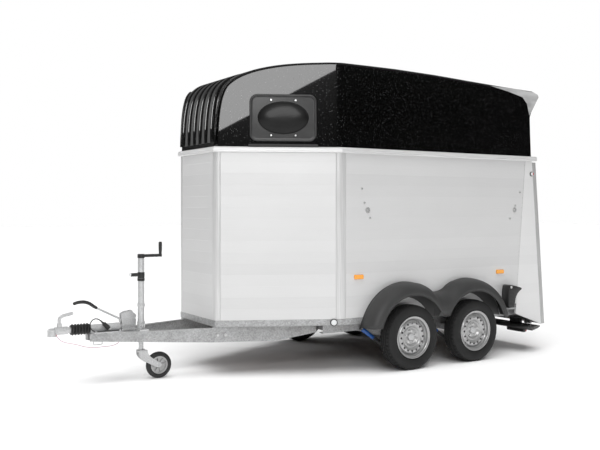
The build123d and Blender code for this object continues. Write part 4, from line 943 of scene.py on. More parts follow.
def is_shoulder(middle, edge):
    """True for the upright edge where the slanted front meets the long side."""
    upright = abs(edge.verts[0].co.x - edge.verts[1].co.x) < 1e-3
    return upright and abs(abs(middle.y) - HOOD_Y) < 1e-3 and abs(middle.x - SHOULDER_X) < 0.03


shoulder_edges = mark_edges(bm, is_shoulder)
print("shoulder edges", len(shoulder_edges), "points", len(bm.verts))
round_edges(bm, shoulder_edges, 0.05, 8)


def is_roof_edge(middle, edge):
    """True for a sharp outer edge above the strip, other than the sides of the rear opening."""
    sharp = len(edge.link_faces) == 2 and edge.calc_face_angle(0) > radians(50)
    outer = middle.z > TRIM[1] + 0.002 and abs(middle.y) > 0.3
    return sharp and outer and (middle.x < 2.26 or middle.z > 2.70)


round_edges(bm, mark_edges(bm, is_roof_edge), 0.026, 5)
bottom = [f for f in bm.faces if f.normal.z < -0.7 and f.calc_center_median().z < TRIM[1] + 0.01]
behind = [f for f in bm.faces if f.normal.x > 0.55 and f.calc_center_median().x > 2.27
          and f.calc_center_median().z < 2.66]
bmesh.ops.delete(bm, geom=bottom + behind, context="FACES")
shell = finish_piece("hood_shell", bm, hood_coat, "chassis", "hood", smooth=28)
wall_of_shell = shell.modifiers.new("wall", "SOLIDIFY")
wall_of_shell.thickness = 0.006
wall_of_shell.offset = -1
keep_flat(shell)
print("hood shell made")

# %% [markdown]
# Six raised ribs stiffen the nose. Each is a low rounded bar that follows the nose line backwards and
# sinks into the roof at its end, so its section is swept along the line and shrinks to nothing.

# %% Nose ribs
RIB_HEIGHT = 0.015
rib_path = [p for p in nose if TRIM[1] + 0.02 <= p.z <= 2.72]


def along_nose(height_of, width_of, middle_y):
    """A low bar along the nose line, whose height and width change along it."""
    stations = []
    for i, point in enumerate(rib_path):
        before, after = rib_path[max(i - 1, 0)], rib_path[min(i + 1, len(rib_path) - 1)]
        run = (after - before).normalized()
        normal = Vector((-run.z, 0, run.x))
        share = i / (len(rib_path) - 1)
        height, half = height_of(share), width_of(share) / 2
        shape = [(-half, -0.002), (-half * 0.9, height * 0.75), (-half * 0.62, height), (half * 0.62, height),
                 (half * 0.9, height * 0.75), (half, -0.002)]
        stations.append([point + Vector((0, middle_y + y, 0)) + normal * h for y, h in shape])
    sweep(bm, stations)


bm = bmesh.new()
for k in range(6):
    along_nose(lambda s: RIB_HEIGHT * min(1, 6 * s + 0.3, 5 * (1 - s) + 0.02), lambda s: 0.058 - 0.014 * s,
               (k - 2.5) * 0.122)
finish_piece("nose_ribs", bm, hood_coat, "chassis", smooth=40)
# Matte black strips laid in the gaps between the ribs paint the shade of deep grooves.
bm = bmesh.new()
for k in range(5):
    along_nose(lambda s: 0.0045 * min(1, 5 * (1 - s)), lambda s: 0.060, (k - 2) * 0.122)
finish_piece("nose_gap_painted_shade", bm, black_rubber, "chassis", smooth=40)

bm = bmesh.new()
tan_slant = tan(SLANT)
for side in SIDES.values():
    corner = []
    for point in rib_path:
        y = NOSE_HALF - HOOD_INSET * 0.5 + (point.x - NOSE_X) * tan_slant
        corner.append(Vector((point.x, side * y, point.z)))
    for shift in (0.006, -0.014):
        moved = [p + Vector((0.0, side * shift, 0)) + Vector((-0.001, 0, 0)) for p in corner]
        add_tube(bm, moved[:int(len(moved) * 0.8)], [0.006] * int(len(moved) * 0.8), 8)
finish_piece("nose_corner_beads", bm, hood_coat, "chassis", smooth=50)
print("ribs and beads made")

# %% [markdown]
# Near the tail a pale wedge of reflection lies on each flank of the hood. A thin plate with its own paler
# coat paints that reflection in, so the painted reflection is there in any light.

# %% Painted reflection on the flanks of the tail lip
FLANK = [(1.70, 2.738), (1.95, 2.700), (2.17, 2.655), (2.235, 2.590), (2.272, 2.470), (2.335, 2.560),
         (2.400, 2.655), (2.404, 2.694), (2.33, 2.719), (2.05, 2.733)]
# The plate's pale coat is a painted reflection on the black hood.
painted_reflection_coat, tree, shader = new_finish("painted_reflection_coat", gray(0.42), 0.0, 0.3, Coat_Weight=0.5, Coat_Roughness=0.1)
shade = noise(tree, place(tree, (2, 2, 5)), 3, 2)
tree.links.new(colors(tree, shade, (0.3, gray(0.34)), (0.7, gray(0.5))), shader.inputs["Base Color"])
bm = bmesh.new()
for side in SIDES.values():
    add_plate(bm, [(x, 0, z) for x, z in FLANK], HOOD_Y - 0.0005, 0.0035, (0, side, 0), 0.001, 2)
keep_flat(finish_piece("tail_flank_painted_reflection", bm, painted_reflection_coat, "chassis", smooth=35))
print("tail flanks made")

# %% [markdown]
# Each window is a tinted moulding screwed to the slanted wall: a frame with a raised rim and round
# corners, and an oval blister in the middle. Loops of one rounded rectangle are
# joined from the wall outwards, and loops of an ellipse make the blister.

# %% Windows
WINDOW = (0.598, 0.420, 0.070)  # length, height and corner radius
PORT = (0.448, 0.284)  # length and height of the oval
PORT_POINTS = 56
WINDOW_ALONG, WINDOW_Z = 0.603, TRIM[1] + 0.256


def window_loop(side, shrink, out):
    """The window's rounded outline, shrunk and moved outwards."""
    origin, back, up, _ = slant_frame(side, WINDOW_ALONG, WINDOW_Z, out)
    loop = rounded_rectangle(WINDOW[0] - 2 * shrink, WINDOW[1] - 2 * shrink, max(WINDOW[2] - shrink, 0.01), 8)
    return [origin + back * x + up * z for x, z in loop]


def port_loop(side, shrink, out):
    """The oval blister's outline, shrunk and moved outwards."""
    origin, back, up, _ = slant_frame(side, WINDOW_ALONG, WINDOW_Z, out)
    turns = [2 * pi * i / PORT_POINTS for i in range(PORT_POINTS)]
    half_long, half_high = PORT[0] / 2 - shrink, PORT[1] / 2 - shrink
    return [origin + back * half_long * cos(t) + up * half_high * sin(t) for t in turns]


for side_name, side in SIDES.items():
    bm = bmesh.new()
    steps = [(0.0, -0.006), (0.0, 0.004), (0.004, 0.012), (0.010, 0.014), (0.017, 0.012), (0.021, 0.006),
             (0.03, 0.0045)]
    sweep(bm, [window_loop(side, shrink, out) for shrink, out in steps])
    keep_flat(finish_piece(f"window_frame_{side_name}", bm, pane_plastic, "chassis",
                           smooth=40))
    bm = bmesh.new()
    steps = [(-0.004, 0.002), (-0.004, 0.007), (0.002, 0.009), (0.006, 0.006), (0.03, 0.0135),
             (0.07, 0.019), (0.11, 0.0215), (0.135, 0.022)]
    sweep(bm, [port_loop(side, shrink, out) for shrink, out in steps])
    # The blister's finish paints the shade of the inside behind the tinted dome.
    finish_piece(f"window_blister_{side_name}", bm, dome_painted_shade, "chassis", smooth=50)
    bm = bmesh.new()
    origin, back, up, normal = slant_frame(side, WINDOW_ALONG, TRIM[1] + 0.012, -0.004)
    ledge = rounded_rectangle(0.62, 0.022, 0.008, 3)
    sweep(bm, [[origin + back * x + up * z + normal * out for x, z in ledge] for out in (0, 0.02)])
    finish_piece(f"window_ledge_{side_name}", bm, black_rubber, "chassis", smooth=40)
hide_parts("window_panes")
print("windows made")

# %% [markdown]
# ## Mudguards
# A tandem mudguard is one vacuum-formed skin: two arches that run together in a low saddle, and a
# pointed skirt between the wheels. Every cross-section runs from the wall over the top to the outer
# lip, so the skin is joined from cross-sections that walk from the front end over both wheels.

# %% Mudguard skins
GUARD_R, LIP_R = 0.505, 0.392
GUARD_WALL_Y, GUARD_LIP_Y = HALF_WIDTH + 0.0004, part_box("fenders")[1].y - 0.001
GUARD_LOW, SKIRT_LOW, SADDLE_Z = 0.41, 0.475, 0.690
MIDDLE_X = (WHEEL_X["front"] + WHEEL_X["rear"]) / 2
ACROSS = 12


def arc_point(radius, turn):
    """A point at a turn from the top, seen from the left; positive turns lean to the middle."""
    return Vector((WHEEL_X["front"] + radius * sin(turn), 0, WHEEL_Z + radius * cos(turn)))


def front_end_turn(radius):
    """The turn at which an arch of a radius reaches the mudguard's lower end."""
    return -pi / 2 + atan2(GUARD_LOW - WHEEL_Z, (radius ** 2 - (GUARD_LOW - WHEEL_Z) ** 2) ** 0.5)


def guard_lines():
    """Wall line and lip line of one half of the mudguard, from the front end to the middle."""
    count = 26
    skirt_turn = pi / 2 - atan2(SKIRT_LOW - WHEEL_Z, (LIP_R ** 2 - (SKIRT_LOW - WHEEL_Z) ** 2) ** 0.5)
    wall_turn = 0.60
    wall, lip = [], []
    for k in range(count + 1):
        share = k / count
        a, b = front_end_turn(GUARD_R), front_end_turn(LIP_R)
        wall.append(arc_point(GUARD_R, a + (wall_turn - a) * share))
        lip.append(arc_point(LIP_R, b + (skirt_turn - b) * share))
    last = wall[-1].copy()
    wall = wall[:-1]
    bend = smooth_line([wall[-2], last, (MIDDLE_X - 0.045, 0, SADDLE_Z + 0.006),
                        (MIDDLE_X, 0, SADDLE_Z)], 2)[2:]
    lip_run = [lip[-1] + (Vector((MIDDLE_X, 0, SKIRT_LOW)) - lip[-1]) * t / (len(bend) - 1)
               for t in range(1, len(bend))]
    return wall + bend, lip + lip_run


def guard_section(wall_point, lip_point, side):
    """One cross-section: flat over the top, then turning down to the lip."""
    row = []
    for k in range(ACROSS + 1):
        turn = pi / 2 * k / ACROSS
        out, drop = sin(turn) ** 0.72, 1 - cos(turn) ** 0.72
        y = GUARD_WALL_Y + (GUARD_LIP_Y - GUARD_WALL_Y) * out
        point = wall_point.lerp(lip_point, drop)
        row.append(Vector((point.x, side * y, point.z)))
    return row


wall_line, lip_line = guard_lines()
mirror_x = lambda p: Vector((2 * MIDDLE_X - p.x, p.y, p.z))
wall_line += [mirror_x(p) for p in reversed(wall_line[:-1])]
lip_line += [mirror_x(p) for p in reversed(lip_line[:-1])]
print("mudguard stations", len(wall_line), len(lip_line))
for side_name, side in SIDES.items():
    bm = bmesh.new()
    sweep(bm, [guard_section(w, l, side) for w, l in zip(wall_line, lip_line)], closed_section=False,
          caps=False)
    for vert in bm.verts:
        # a fine step runs over each arch beside the saddle, and a band closes the lower ends
        lean = abs(vert.co.x - MIDDLE_X)
        if vert.co.z < 0.475 and lean > 0.5:
            vert.co.x += 0.004 * (1 if vert.co.x > MIDDLE_X else -1)
        if 0.13 < lean < 0.24 and vert.co.z > 0.6:
            vert.co.z += 0.005
    bmesh.ops.recalc_face_normals(bm, faces=bm.faces[:])
    top = max(bm.faces, key=lambda f: f.calc_center_median().z)
    if top.normal.z < 0:
        bmesh.ops.reverse_faces(bm, faces=bm.faces[:])
    skin = finish_piece(f"mudguard_{side_name}", bm, guard_plastic, "chassis", smooth=42,
                        recalc=False)
    thickness = skin.modifiers.new("wall", "SOLIDIFY")
    thickness.thickness = 0.004
    thickness.offset = -1
    bm = bmesh.new()
    lip_path = [Vector((p.x, side * (GUARD_LIP_Y - 0.003), p.z)) for p in lip_line]
    add_tube(bm, lip_path, [0.0055] * len(lip_path), 10)
    finish_piece(f"mudguard_lip_{side_name}", bm, guard_plastic, "chassis", smooth=60)
    bm = bmesh.new()
    for ends in (1, -1):
        turn_in = [arc_point(0.497, -1.36 + (0.9 + 1.36) * k / 16) for k in range(17)]
        turn_in = [p for p in turn_in if p.x < MIDDLE_X - 0.002] + [Vector((MIDDLE_X - 0.001, 0, 0.60))]
        turn_back = [Vector((MIDDLE_X - 0.001, 0, 0.45)), Vector((0.89, 0, 0.45))]
        turn_back += [arc_point(0.36, 1.1 - (1.1 + 1.2) * k / 16) for k in range(17)]
        outline = turn_in + turn_back
        if ends < 0:
            outline = [mirror_x(p) for p in outline]
        add_plate(bm, outline, HALF_WIDTH + 0.0006, 0.0035, (0, side, 0))
    finish_piece(f"mudguard_liner_{side_name}", bm, liner_plastic, "chassis", smooth=30)
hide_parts("fenders")
print("mudguards made")

# %% [markdown]
# ## Wheels
# A tyre is a spun section: bead, bulged sidewall, shoulder and grooved tread. Blocks are cut into the
# shoulders afterwards by insetting every other face. The steel rim is a spun section too, with its two
# lips and well, and the vents are drilled through the dish with sixteen small cutters.

# %% Tyres
TYRE_WIDTH = 0.158
TYRE_IN_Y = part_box("tyre_front_left")[1].y
TREAD_STEPS = 100
SHOULDER_BAND = 0.046


def tyre_section():
    """Half of the outer profile, as (distance from the inner face, radius), then mirrored."""
    half = [(0.0165, 0.179), (0.0150, 0.197), (0.0075, 0.2025), (0.003, 0.214), (0.0, 0.236),
            (0.0008, 0.255), (0.0045, 0.272), (0.010, 0.284), (0.0165, 0.2905), (0.026, 0.2955),
            (0.030, 0.2930), (0.033, 0.2970), (0.046, 0.2985), (0.048, 0.2925), (0.055, 0.2925),
            (0.057, 0.2992), (0.074, 0.2996), (0.0755, 0.2935)]
    other = [(TYRE_WIDTH - t, r) for t, r in reversed(half)]
    inside = [(0.128, 0.179), (0.130, 0.20), (0.148, 0.24), (0.140, 0.277), (0.124, 0.288), (0.034, 0.288),
              (0.018, 0.277), (0.010, 0.24), (0.028, 0.20), (0.030, 0.179)]
    return half + other + inside


for axle in WHEELS:
    for side_name, side in SIDES.items():
        bm = bmesh.new()
        hub_point = (WHEEL_X[axle], side * abs(TYRE_IN_Y), WHEEL_Z)
        add_turned(bm, tyre_section(), hub_point, (0, side, 0), TREAD_STEPS)
        shoulders = []
        for face in bm.faces:
            middle = face.calc_center_median() - Vector(hub_point)
            radius, t = hypot(middle.x, middle.z), abs(middle.y)
            turn = int(round((atan2(middle.z, middle.x) + pi) / (2 * pi) * TREAD_STEPS))
            from_edge = min(t, TYRE_WIDTH - t)
            on_shoulder = radius > 0.283 and 0.006 < from_edge < SHOULDER_BAND
            if on_shoulder and turn % 2 and (radius > 0.2875 or from_edge < 0.02):
                shoulders.append(face)
        bmesh.ops.recalc_face_normals(bm, faces=bm.faces[:])
        bmesh.ops.inset_individual(bm, faces=shoulders, thickness=0.0022, depth=-0.0035)
        wheel = f"wheel_{axle}_{side_name}"
        finish_piece(f"road_tyre_{axle}_{side_name}", bm, tyre_rubber, wheel,
                     f"tyre_{axle}_{side_name}", smooth=32)
print("tyres made")

# %% [markdown]
# A pressed steel rim has a ring with a deep well, which lets the tyre slip on, and a dish welded into
# it. Both are spun. Cutting the vents with one boolean keeps their edges crisp, which insetting faces
# of the dish wouldn't.

# %% Rims
VENTS, VENT_RING, VENT_R = 16, 0.128, 0.0105


def rim_section():
    """Lips, bead seats and well, as a closed section."""
    out = [(0.0075, 0.186), (0.0065, 0.193), (0.010, 0.1955), (0.0135, 0.193), (0.0145, 0.182),
           (0.018, 0.1785), (0.044, 0.1775), (0.055, 0.166)]
    other = [(TYRE_WIDTH - t, r) for t, r in reversed(out)]
    back = [(0.1465, 0.186), (0.1445, 0.179), (0.140, 0.1745), (0.118, 0.1725), (0.102, 0.159),
            (0.056, 0.159), (0.042, 0.1725), (0.018, 0.1745), (0.0135, 0.179), (0.0115, 0.186)]
    return out + other + back


DISH = [(0.100, 0.1595), (0.107, 0.1600), (0.116, 0.1555), (0.1235, 0.146), (0.1265, 0.137),
        (0.1275, 0.124), (0.1255, 0.113), (0.118, 0.1035), (0.114, 0.0975), (0.1165, 0.091),
        (0.1165, 0.085), (0.112, 0.078), (0.101, 0.071), (0.0975, 0.066), (0.0975, 0.034),
        (0.0935, 0.034), (0.0935, 0.067), (0.097, 0.0735), (0.108, 0.0805), (0.112, 0.087),
        (0.1115, 0.091), (0.1095, 0.099), (0.114, 0.106), (0.121, 0.115), (0.1225, 0.124),
        (0.1215, 0.136), (0.118, 0.143), (0.1115, 0.151), (0.104, 0.155)]

DRUM = [(-0.028, 0), (-0.028, 0.110), (-0.02, 0.112), (0.018, 0.112), (0.02, 0.09), (0.024, 0.078),
        (0.091, 0.078), (0.0925, 0.06), (0.0925, 0)]
HUB_CAP = [(0.09, 0), (0.09, 0.033), (0.112, 0.0325), (0.116, 0.029), (0.118, 0.02), (0.118, 0)]
BOLTS, BOLT_RING = 5, 0.056


def drill(piece, cutter_bm):
    """Cuts the cutters' volume out of a piece for good."""
    mesh = bpy.data.meshes.new("cutters")
    bmesh.ops.recalc_face_normals(cutter_bm, faces=cutter_bm.faces[:])
    cutter_bm.to_mesh(mesh)
    cutter_bm.free()
    cutters = bpy.data.objects.new("cutters", mesh)
    bpy.context.scene.collection.objects.link(cutters)
    step = piece.modifiers.new("drill", "BOOLEAN")
    step.object = cutters
    step.operation = "DIFFERENCE"
    step.solver = "EXACT"
    bpy.context.view_layer.update()
    cut_mesh = bpy.data.meshes.new_from_object(piece.evaluated_get(bpy.context.evaluated_depsgraph_get()))
    piece.modifiers.clear()
    piece.data = cut_mesh
    bpy.data.objects.remove(cutters)


for axle in WHEELS:
    for side_name, side in SIDES.items():
        wheel = f"wheel_{axle}_{side_name}"
        centre = Vector((WHEEL_X[axle], side * abs(TYRE_IN_Y), WHEEL_Z))
        out = lambda t: centre + Vector((0, side * t, 0))
        bm = bmesh.new()
        add_turned(bm, rim_section(), centre, (0, side, 0), 96)
        finish_piece(f"rim_ring_{axle}_{side_name}", bm, wheel_paint, wheel,
                     f"rim_{axle}_{side_name}", smooth=30)
        bm = bmesh.new()
        add_turned(bm, DISH, centre, (0, side, 0), 96)
        dish = finish_piece(f"rim_dish_{axle}_{side_name}", bm, wheel_paint, wheel, smooth=35)
        bm = bmesh.new()
        for k in range(VENTS):
            turn = 2 * pi * k / VENTS
            spot = Vector((VENT_RING * cos(turn), 0, VENT_RING * sin(turn)))
            add_disc(bm, out(0.098) + spot, out(0.14) + spot, VENT_R, 0, 14)
        drill(dish, bm)
        bm = bmesh.new()
        add_turned(bm, DRUM, centre, (0, side, 0), 48)
        add_turned(bm, HUB_CAP, centre, (0, side, 0), 36, material=1)
        finish_piece(f"brake_drum_{axle}_{side_name}", bm, [dark_steel, zinc_fine], wheel,
                     smooth=35)
        bm = bmesh.new()
        for k in range(BOLTS):
            turn = 2 * pi * k / BOLTS + pi / 2
            spot = Vector((BOLT_RING * cos(turn), 0, BOLT_RING * sin(turn)))
            add_disc(bm, out(0.0965) + spot, out(0.100) + spot, 0.0135, 0.001, 20)
            add_disc(bm, out(0.099) + spot, out(0.112) + spot, 0.0105, 0.0015, 6)
        finish_piece(f"wheel_bolts_{axle}_{side_name}", bm, bright, wheel, smooth=20)
print("rims made")

# %% [markdown]
# ## Dampers
# A telescopic damper has two halves that slide: the blue tube is pinned to the chassis and the black
# one to the swing arm, so each half rides on its own body.

# %% Dampers
DAMPER_TOP, DAMPER_FOOT, DAMPER_Y = Vector((-0.263, 0, 0.384)), Vector((-0.010, 0, 0.210)), 0.784
for axle in WHEELS:
    for side_name, side in SIDES.items():
        shift = Vector((WHEEL_X[axle] - 0.150, side * DAMPER_Y, 0))
        top, foot = DAMPER_TOP + shift, DAMPER_FOOT + shift
        run = (foot - top).normalized()
        bm = bmesh.new()
        length = (foot - top).length
        tube = [(0.010, 0), (0.010, 0.012), (0.016, 0.0185), (0.02, 0.02), (0.160, 0.02),
                (0.165, 0.0185), (0.165, 0.0)]
        add_turned(bm, tube, top, run, 32)
        add_disc(bm, top - Vector((0, 0.011, 0)), top + Vector((0, 0.011, 0)), 0.015, 0.001, 24, material=1)
        finish_piece(f"damper_tube_{axle}_{side_name}", bm, [blue_enamel, dark_steel], "chassis",
                     f"damper_{axle}_{side_name}", smooth=40)
        bm = bmesh.new()
        rod = [(0.166, 0), (0.166, 0.0165), (length - 0.016, 0.0165), (length - 0.01, 0.013),
               (length - 0.01, 0)]
        add_turned(bm, rod, top, run, 32)
        add_disc(bm, foot - Vector((0, 0.011, 0)), foot + Vector((0, 0.011, 0)), 0.015, 0.001, 24)
        finish_piece(f"damper_rod_{axle}_{side_name}", bm, dark_steel, f"suspension_{axle}_{side_name}",
                     smooth=40)
print("dampers made")

# %% [markdown]
# ## Drawbar hardware
# The corrugated rubber sleeve keeps dirt off the sliding shaft. Its folds are a spun section of round
# waves. The real sleeve flattens when the coupling is pushed in; here it gets a mesh of its own and keeps its
# shape.

# %% Corrugated sleeve
SHAFT_Z = 0.466
SLEEVE = (-2.3115, -2.1505)
FOLDS = 6
bm = bmesh.new()
section = [(SLEEVE[0], 0.0262), (SLEEVE[0], 0.040), (SLEEVE[0] + 0.004, 0.041)]
fold = (SLEEVE[1] - SLEEVE[0] - 0.008) / FOLDS
for k in range(FOLDS * 6 + 1):
    x = SLEEVE[0] + 0.004 + fold * k / 6
    section.append((x, 0.0335 + 0.0150 * abs(sin(pi * k / 6)) ** 0.8))
section += [(SLEEVE[1], 0.040), (SLEEVE[1], 0.0262)]
add_turned(bm, section, (0, 0, SHAFT_Z), (1, 0, 0), 48)
sleeve = finish_piece("shaft_sleeve", bm, black_rubber, "chassis", "bellows", smooth=60)
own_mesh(sleeve)
print("sleeve made")

# %% [markdown]
# The coupling handle is a bright pressed lever, the parking brake lever a pale rod with a soft black
# grip. Both are round or flat bars swept along a smooth line.

# %% Coupling handle and parking brake lever
bm = bmesh.new()
handle_line = smooth_line([(-2.402, 0, 0.516), (-2.405, 0, 0.545), (-2.400, 0, 0.572), (-2.378, 0, 0.588),
                           (-2.335, 0, 0.598), (-2.290, 0, 0.606)], 6)
stations = []
for i, point in enumerate(handle_line):
    before, after = handle_line[max(i - 1, 0)], handle_line[min(i + 1, len(handle_line) - 1)]
    run = (after - before).normalized()
    up = Vector((-run.z, 0, run.x))
    share = i / (len(handle_line) - 1)
    thick = 0.0125 + 0.0014 * (i % 2) * (share > 0.45) - 0.002 * max(0, share - 0.9) * 10
    wide = 0.0085 + 0.005 * min(1, share * 3)
    stations.append([point + Vector((0, y * wide * 2, 0)) + up * z * thick * 2
                     for y, z in rounded_rectangle(1, 1, 0.3, 3)])
sweep(bm, stations)
add_disc(bm, (-2.402, -0.009, 0.518), (-2.402, 0.009, 0.518), 0.0115, 0.001, 24)
finish_piece("coupling_lever_handle", bm, zinc_fine, "coupling_lever", "coupling_handle",
             smooth=35)

PIVOT = Vector((-1.820, 0, 0.500))
bm = bmesh.new()
add_disc(bm, PIVOT + Vector((0, -0.0135, 0)), PIVOT + Vector((0, 0.0135, 0)), 0.022, 0.002, 32)
add_tube(bm, [PIVOT, (-2.091, 0, 0.639)], [0.0085, 0.0085], 20)
add_box(bm, (-1.888, -0.011, 0.503), (-1.835, 0.011, 0.530), 0.003)
finish_piece("brake_lever_rod", bm, zinc_fine, "handbrake", "handbrake_lever", smooth=40)
bm = bmesh.new()
grip = smooth_line([(-2.080, 0, 0.6335), (-2.110, 0, 0.652), (-2.150, 0, 0.680), (-2.190, 0, 0.694),
                    (-2.230, 0, 0.6955), (-2.265, 0, 0.690), (-2.288, 0, 0.6815)], 6)
last = len(grip) - 1
add_tube(bm, grip, [0.0125 + 0.002 * sin(pi * i / last) - (0.006 if i in (0, last) else 0)
                    - (0.0018 if i in (1, last - 1) else 0)
                    for i in range(last + 1)], 20)
finish_piece("brake_lever_grip", bm, black_plastic, "handbrake", smooth=50)
print("levers made")

# %% [markdown]
# The toothed quadrant holds the brake lever. It stands between the two housing plates, with a row of
# teeth along its round edge, and two bolts with washers fix the housing to the drawbar.

# %% Quadrant teeth, housing bolts and the loop bracket
bm = bmesh.new()
teeth = []
for k in range(33):
    turn = radians(32 + 100 * k / 32)
    radius = 0.098 if k % 2 else 0.091
    teeth.append(Vector((PIVOT.x + radius * cos(turn) + 0.004, 0, PIVOT.z + radius * sin(turn))))
outline = teeth + [Vector((PIVOT.x - 0.048, 0, 0.47)), Vector((PIVOT.x + 0.045, 0, 0.47))]
for side in (-1, 1):
    add_plate(bm, outline, 0.0205, 0.004, (0, side, 0), 0.0006, 1)
for x, y in ((-2.12, 0.095), (-2.12, -0.095), (-1.91, 0.095), (-1.91, -0.095)):
    add_disc(bm, (x, y, 0.441), (x, y, 0.443), 0.0135, 0.0005, 20)
    add_disc(bm, (x, y, 0.443), (x, y, 0.4505), 0.009, 0.001, 6)
finish_piece("quadrant_and_bolts", bm, zinc_fine, "chassis", smooth=25)
bm = bmesh.new()
loop = smooth_line([(-2.128, -0.05, 0.362), (-2.128, -0.05, 0.345), (-2.126, -0.05, 0.334),
                    (-2.115, -0.05, 0.330), (-2.090, -0.05, 0.330), (-2.067, -0.05, 0.330),
                    (-2.056, -0.05, 0.334), (-2.054, -0.05, 0.345), (-2.054, -0.05, 0.362)], 3)
add_tube(bm, loop, [0.0042] * len(loop), 10)
add_box(bm, (-2.136, -0.058, 0.3595), (-2.046, -0.042, 0.364), 0.001)
finish_piece("breakaway_loop", bm, zinc_fine, "chassis", smooth=50)
print("quadrant made")

# %% [markdown]
# ## Jockey wheel
# A galvanised tube stands in a clamp on the drawbar arm. Its black collar has a lobe as a handle, the
# crank sits on top, and below are the fork and a rubber-tyred wheel with a spoked rim.

# %% Jockey tube, collar and crank knob
JOCKEY = Vector((-1.726, -0.105, 0))
bm = bmesh.new()
add_turned(bm, [(0.330, 0.0206), (0.330, 0.0265), (0.332, 0.027), (1.046, 0.027), (1.059, 0.0255),
                (1.060, 0.0062), (1.0485, 0.0062), (1.048, 0.0206)], JOCKEY, (0, 0, 1), 48)
add_turned(bm, [(0.636, 0.0235), (0.638, 0.030), (0.650, 0.0325), (0.668, 0.030), (0.670, 0.0235)], JOCKEY,
           (0, 0, 1), 48)
for turn in (0.6, 2.7, 4.8):
    spot = JOCKEY + Vector((0.0268 * cos(turn), 0.0268 * sin(turn), 0))
    add_tube(bm, [spot + Vector((0, 0, 0.36)), spot + Vector((0, 0, 0.62))], [0.0016, 0.0016], 8)
finish_piece("jockey_tube", bm, zinc_fine, "jockey_leg", "jockey_outer_tube", smooth=35)
bm = bmesh.new()
collar = [(0.884, 0.0235), (0.886, 0.029), (0.900, 0.031), (0.928, 0.031), (0.936, 0.029), (0.940, 0.0235)]
add_turned(bm, collar, JOCKEY, (0, 0, 1), 40)
lobe = [(x - 0.048, y) for x, y in rounded_rectangle(0.094, 0.030, 0.0145, 6)]
stations = [[JOCKEY + Vector((x * grow, y * grow, z)) for x, y in lobe]
            for z, grow in ((0.902, 0.94), (0.905, 1), (0.926, 1), (0.930, 0.95))]
sweep(bm, stations)
add_box(bm, JOCKEY + Vector((-0.108, -0.010, 0.908)), JOCKEY + Vector((-0.090, 0.010, 0.927)), 0.004, 3,
        material=1)
add_turned(bm, [(0.860, 0.026), (0.862, 0.0315), (0.884, 0.0315), (0.884, 0.026)], JOCKEY, (0, 0, 1), 40)
finish_piece("jockey_collar", bm, [black_plastic, clear_lens], "jockey_leg", smooth=35)

bm = bmesh.new()
add_turned(bm, [(1.0605, 0), (1.0605, 0.029), (1.063, 0.031), (1.090, 0.031), (1.094, 0.028), (1.094, 0)],
           JOCKEY, (0, 0, 1), 40)
arm_loop = [(x + 0.089, y) for x, y in rounded_rectangle(0.206, 0.030, 0.0145, 6)]
sweep(bm, [[JOCKEY + Vector((x, y, z)) for x, y in arm_loop] for z in (1.067, 1.069, 1.089, 1.091)])
knob = JOCKEY + Vector((0.178, 0, 0))
grip_section = [(1.085, 0), (1.085, 0.0125), (1.10, 0.0125), (1.13, 0.0145), (1.17, 0.0155),
                (1.192, 0.0145), (1.198, 0.011), (1.198, 0)]
add_turned(bm, grip_section, knob, (0, 0, 1), 32)
finish_piece("crank_handle", bm, black_plastic, "jockey_winder", "jockey_crank", smooth=35)

# %% [markdown]
# The fork trails behind the tube, so the wheel swivels round after it. Its two cheeks are plates with
# a smooth outline. The small wheel is spun like the big ones, with a thin web from hub to rim, and
# eight ribs across the web taper outwards.

# %% Jockey fork and wheel
TRAIL, AXLE_Z, RIBS = 0.162, 0.115, 8
axle_spot = JOCKEY + Vector((TRAIL, 0, AXLE_Z))
bm = bmesh.new()
cheek = smooth_line([(-0.030, 0, 0.262), (-0.033, 0, 0.235), (-0.024, 0, 0.205), (0.010, 0, 0.172),
                     (0.070, 0, 0.134), (0.130, 0, 0.104), (0.158, 0, 0.099), (0.174, 0, 0.106),
                     (0.178, 0, 0.121), (0.168, 0, 0.135), (0.110, 0, 0.172), (0.066, 0, 0.208),
                     (0.050, 0, 0.240), (0.047, 0, 0.262)], 4)
for side in (-1, 1):
    add_plate(bm, [Vector((JOCKEY.x, 0, 0)) + p for p in cheek], JOCKEY.y * side + 0.029, 0.0045,
              (0, side, 0), 0.001, 1)
add_box(bm, JOCKEY + Vector((-0.031, -0.034, 0.241)), JOCKEY + Vector((0.047, 0.034, 0.2575)), 0.003)
add_disc(bm, axle_spot + Vector((0, -0.039, 0)), axle_spot + Vector((0, 0.039, 0)), 0.0075, 0.001, 20)
for side in (-1, 1):
    add_disc(bm, axle_spot + Vector((0, side * 0.034, 0)), axle_spot + Vector((0, side * 0.040, 0)), 0.0125,
             0.001, 6)
finish_piece("jockey_wheel_fork", bm, zinc_fine, "jockey_caster", "jockey_fork",
             smooth=35)
bm = bmesh.new()
half = [(-0.0205, 0.078), (-0.0245, 0.084), (-0.0250, 0.094), (-0.0225, 0.1055), (-0.0165, 0.1125),
        (-0.007, 0.1148)]
profile = half + [(-t, r) for t, r in reversed(half)] + [(0.0195, 0.0775), (-0.0195, 0.0775)]
add_turned(bm, profile, axle_spot, (0, 1, 0), 64)
finish_piece("jockey_tyre", bm, black_rubber, "jockey_roller", "jockey_wheel", smooth=50)
bm = bmesh.new()
add_turned(bm, [(-0.0205, 0.0655), (-0.0215, 0.075), (-0.0195, 0.0785), (0.0195, 0.0785), (0.0215, 0.075),
                (0.0205, 0.0655), (0.012, 0.064), (-0.012, 0.064)], axle_spot, (0, 1, 0), 64)
add_turned(bm, [(-0.0275, 0.0085), (-0.0275, 0.018), (-0.024, 0.021), (0.024, 0.021), (0.0275, 0.018),
                (0.0275, 0.0085)], axle_spot, (0, 1, 0), 40)
add_turned(bm, [(-0.004, 0.018), (-0.004, 0.066), (0.004, 0.066), (0.004, 0.018)], axle_spot, (0, 1, 0), 48)
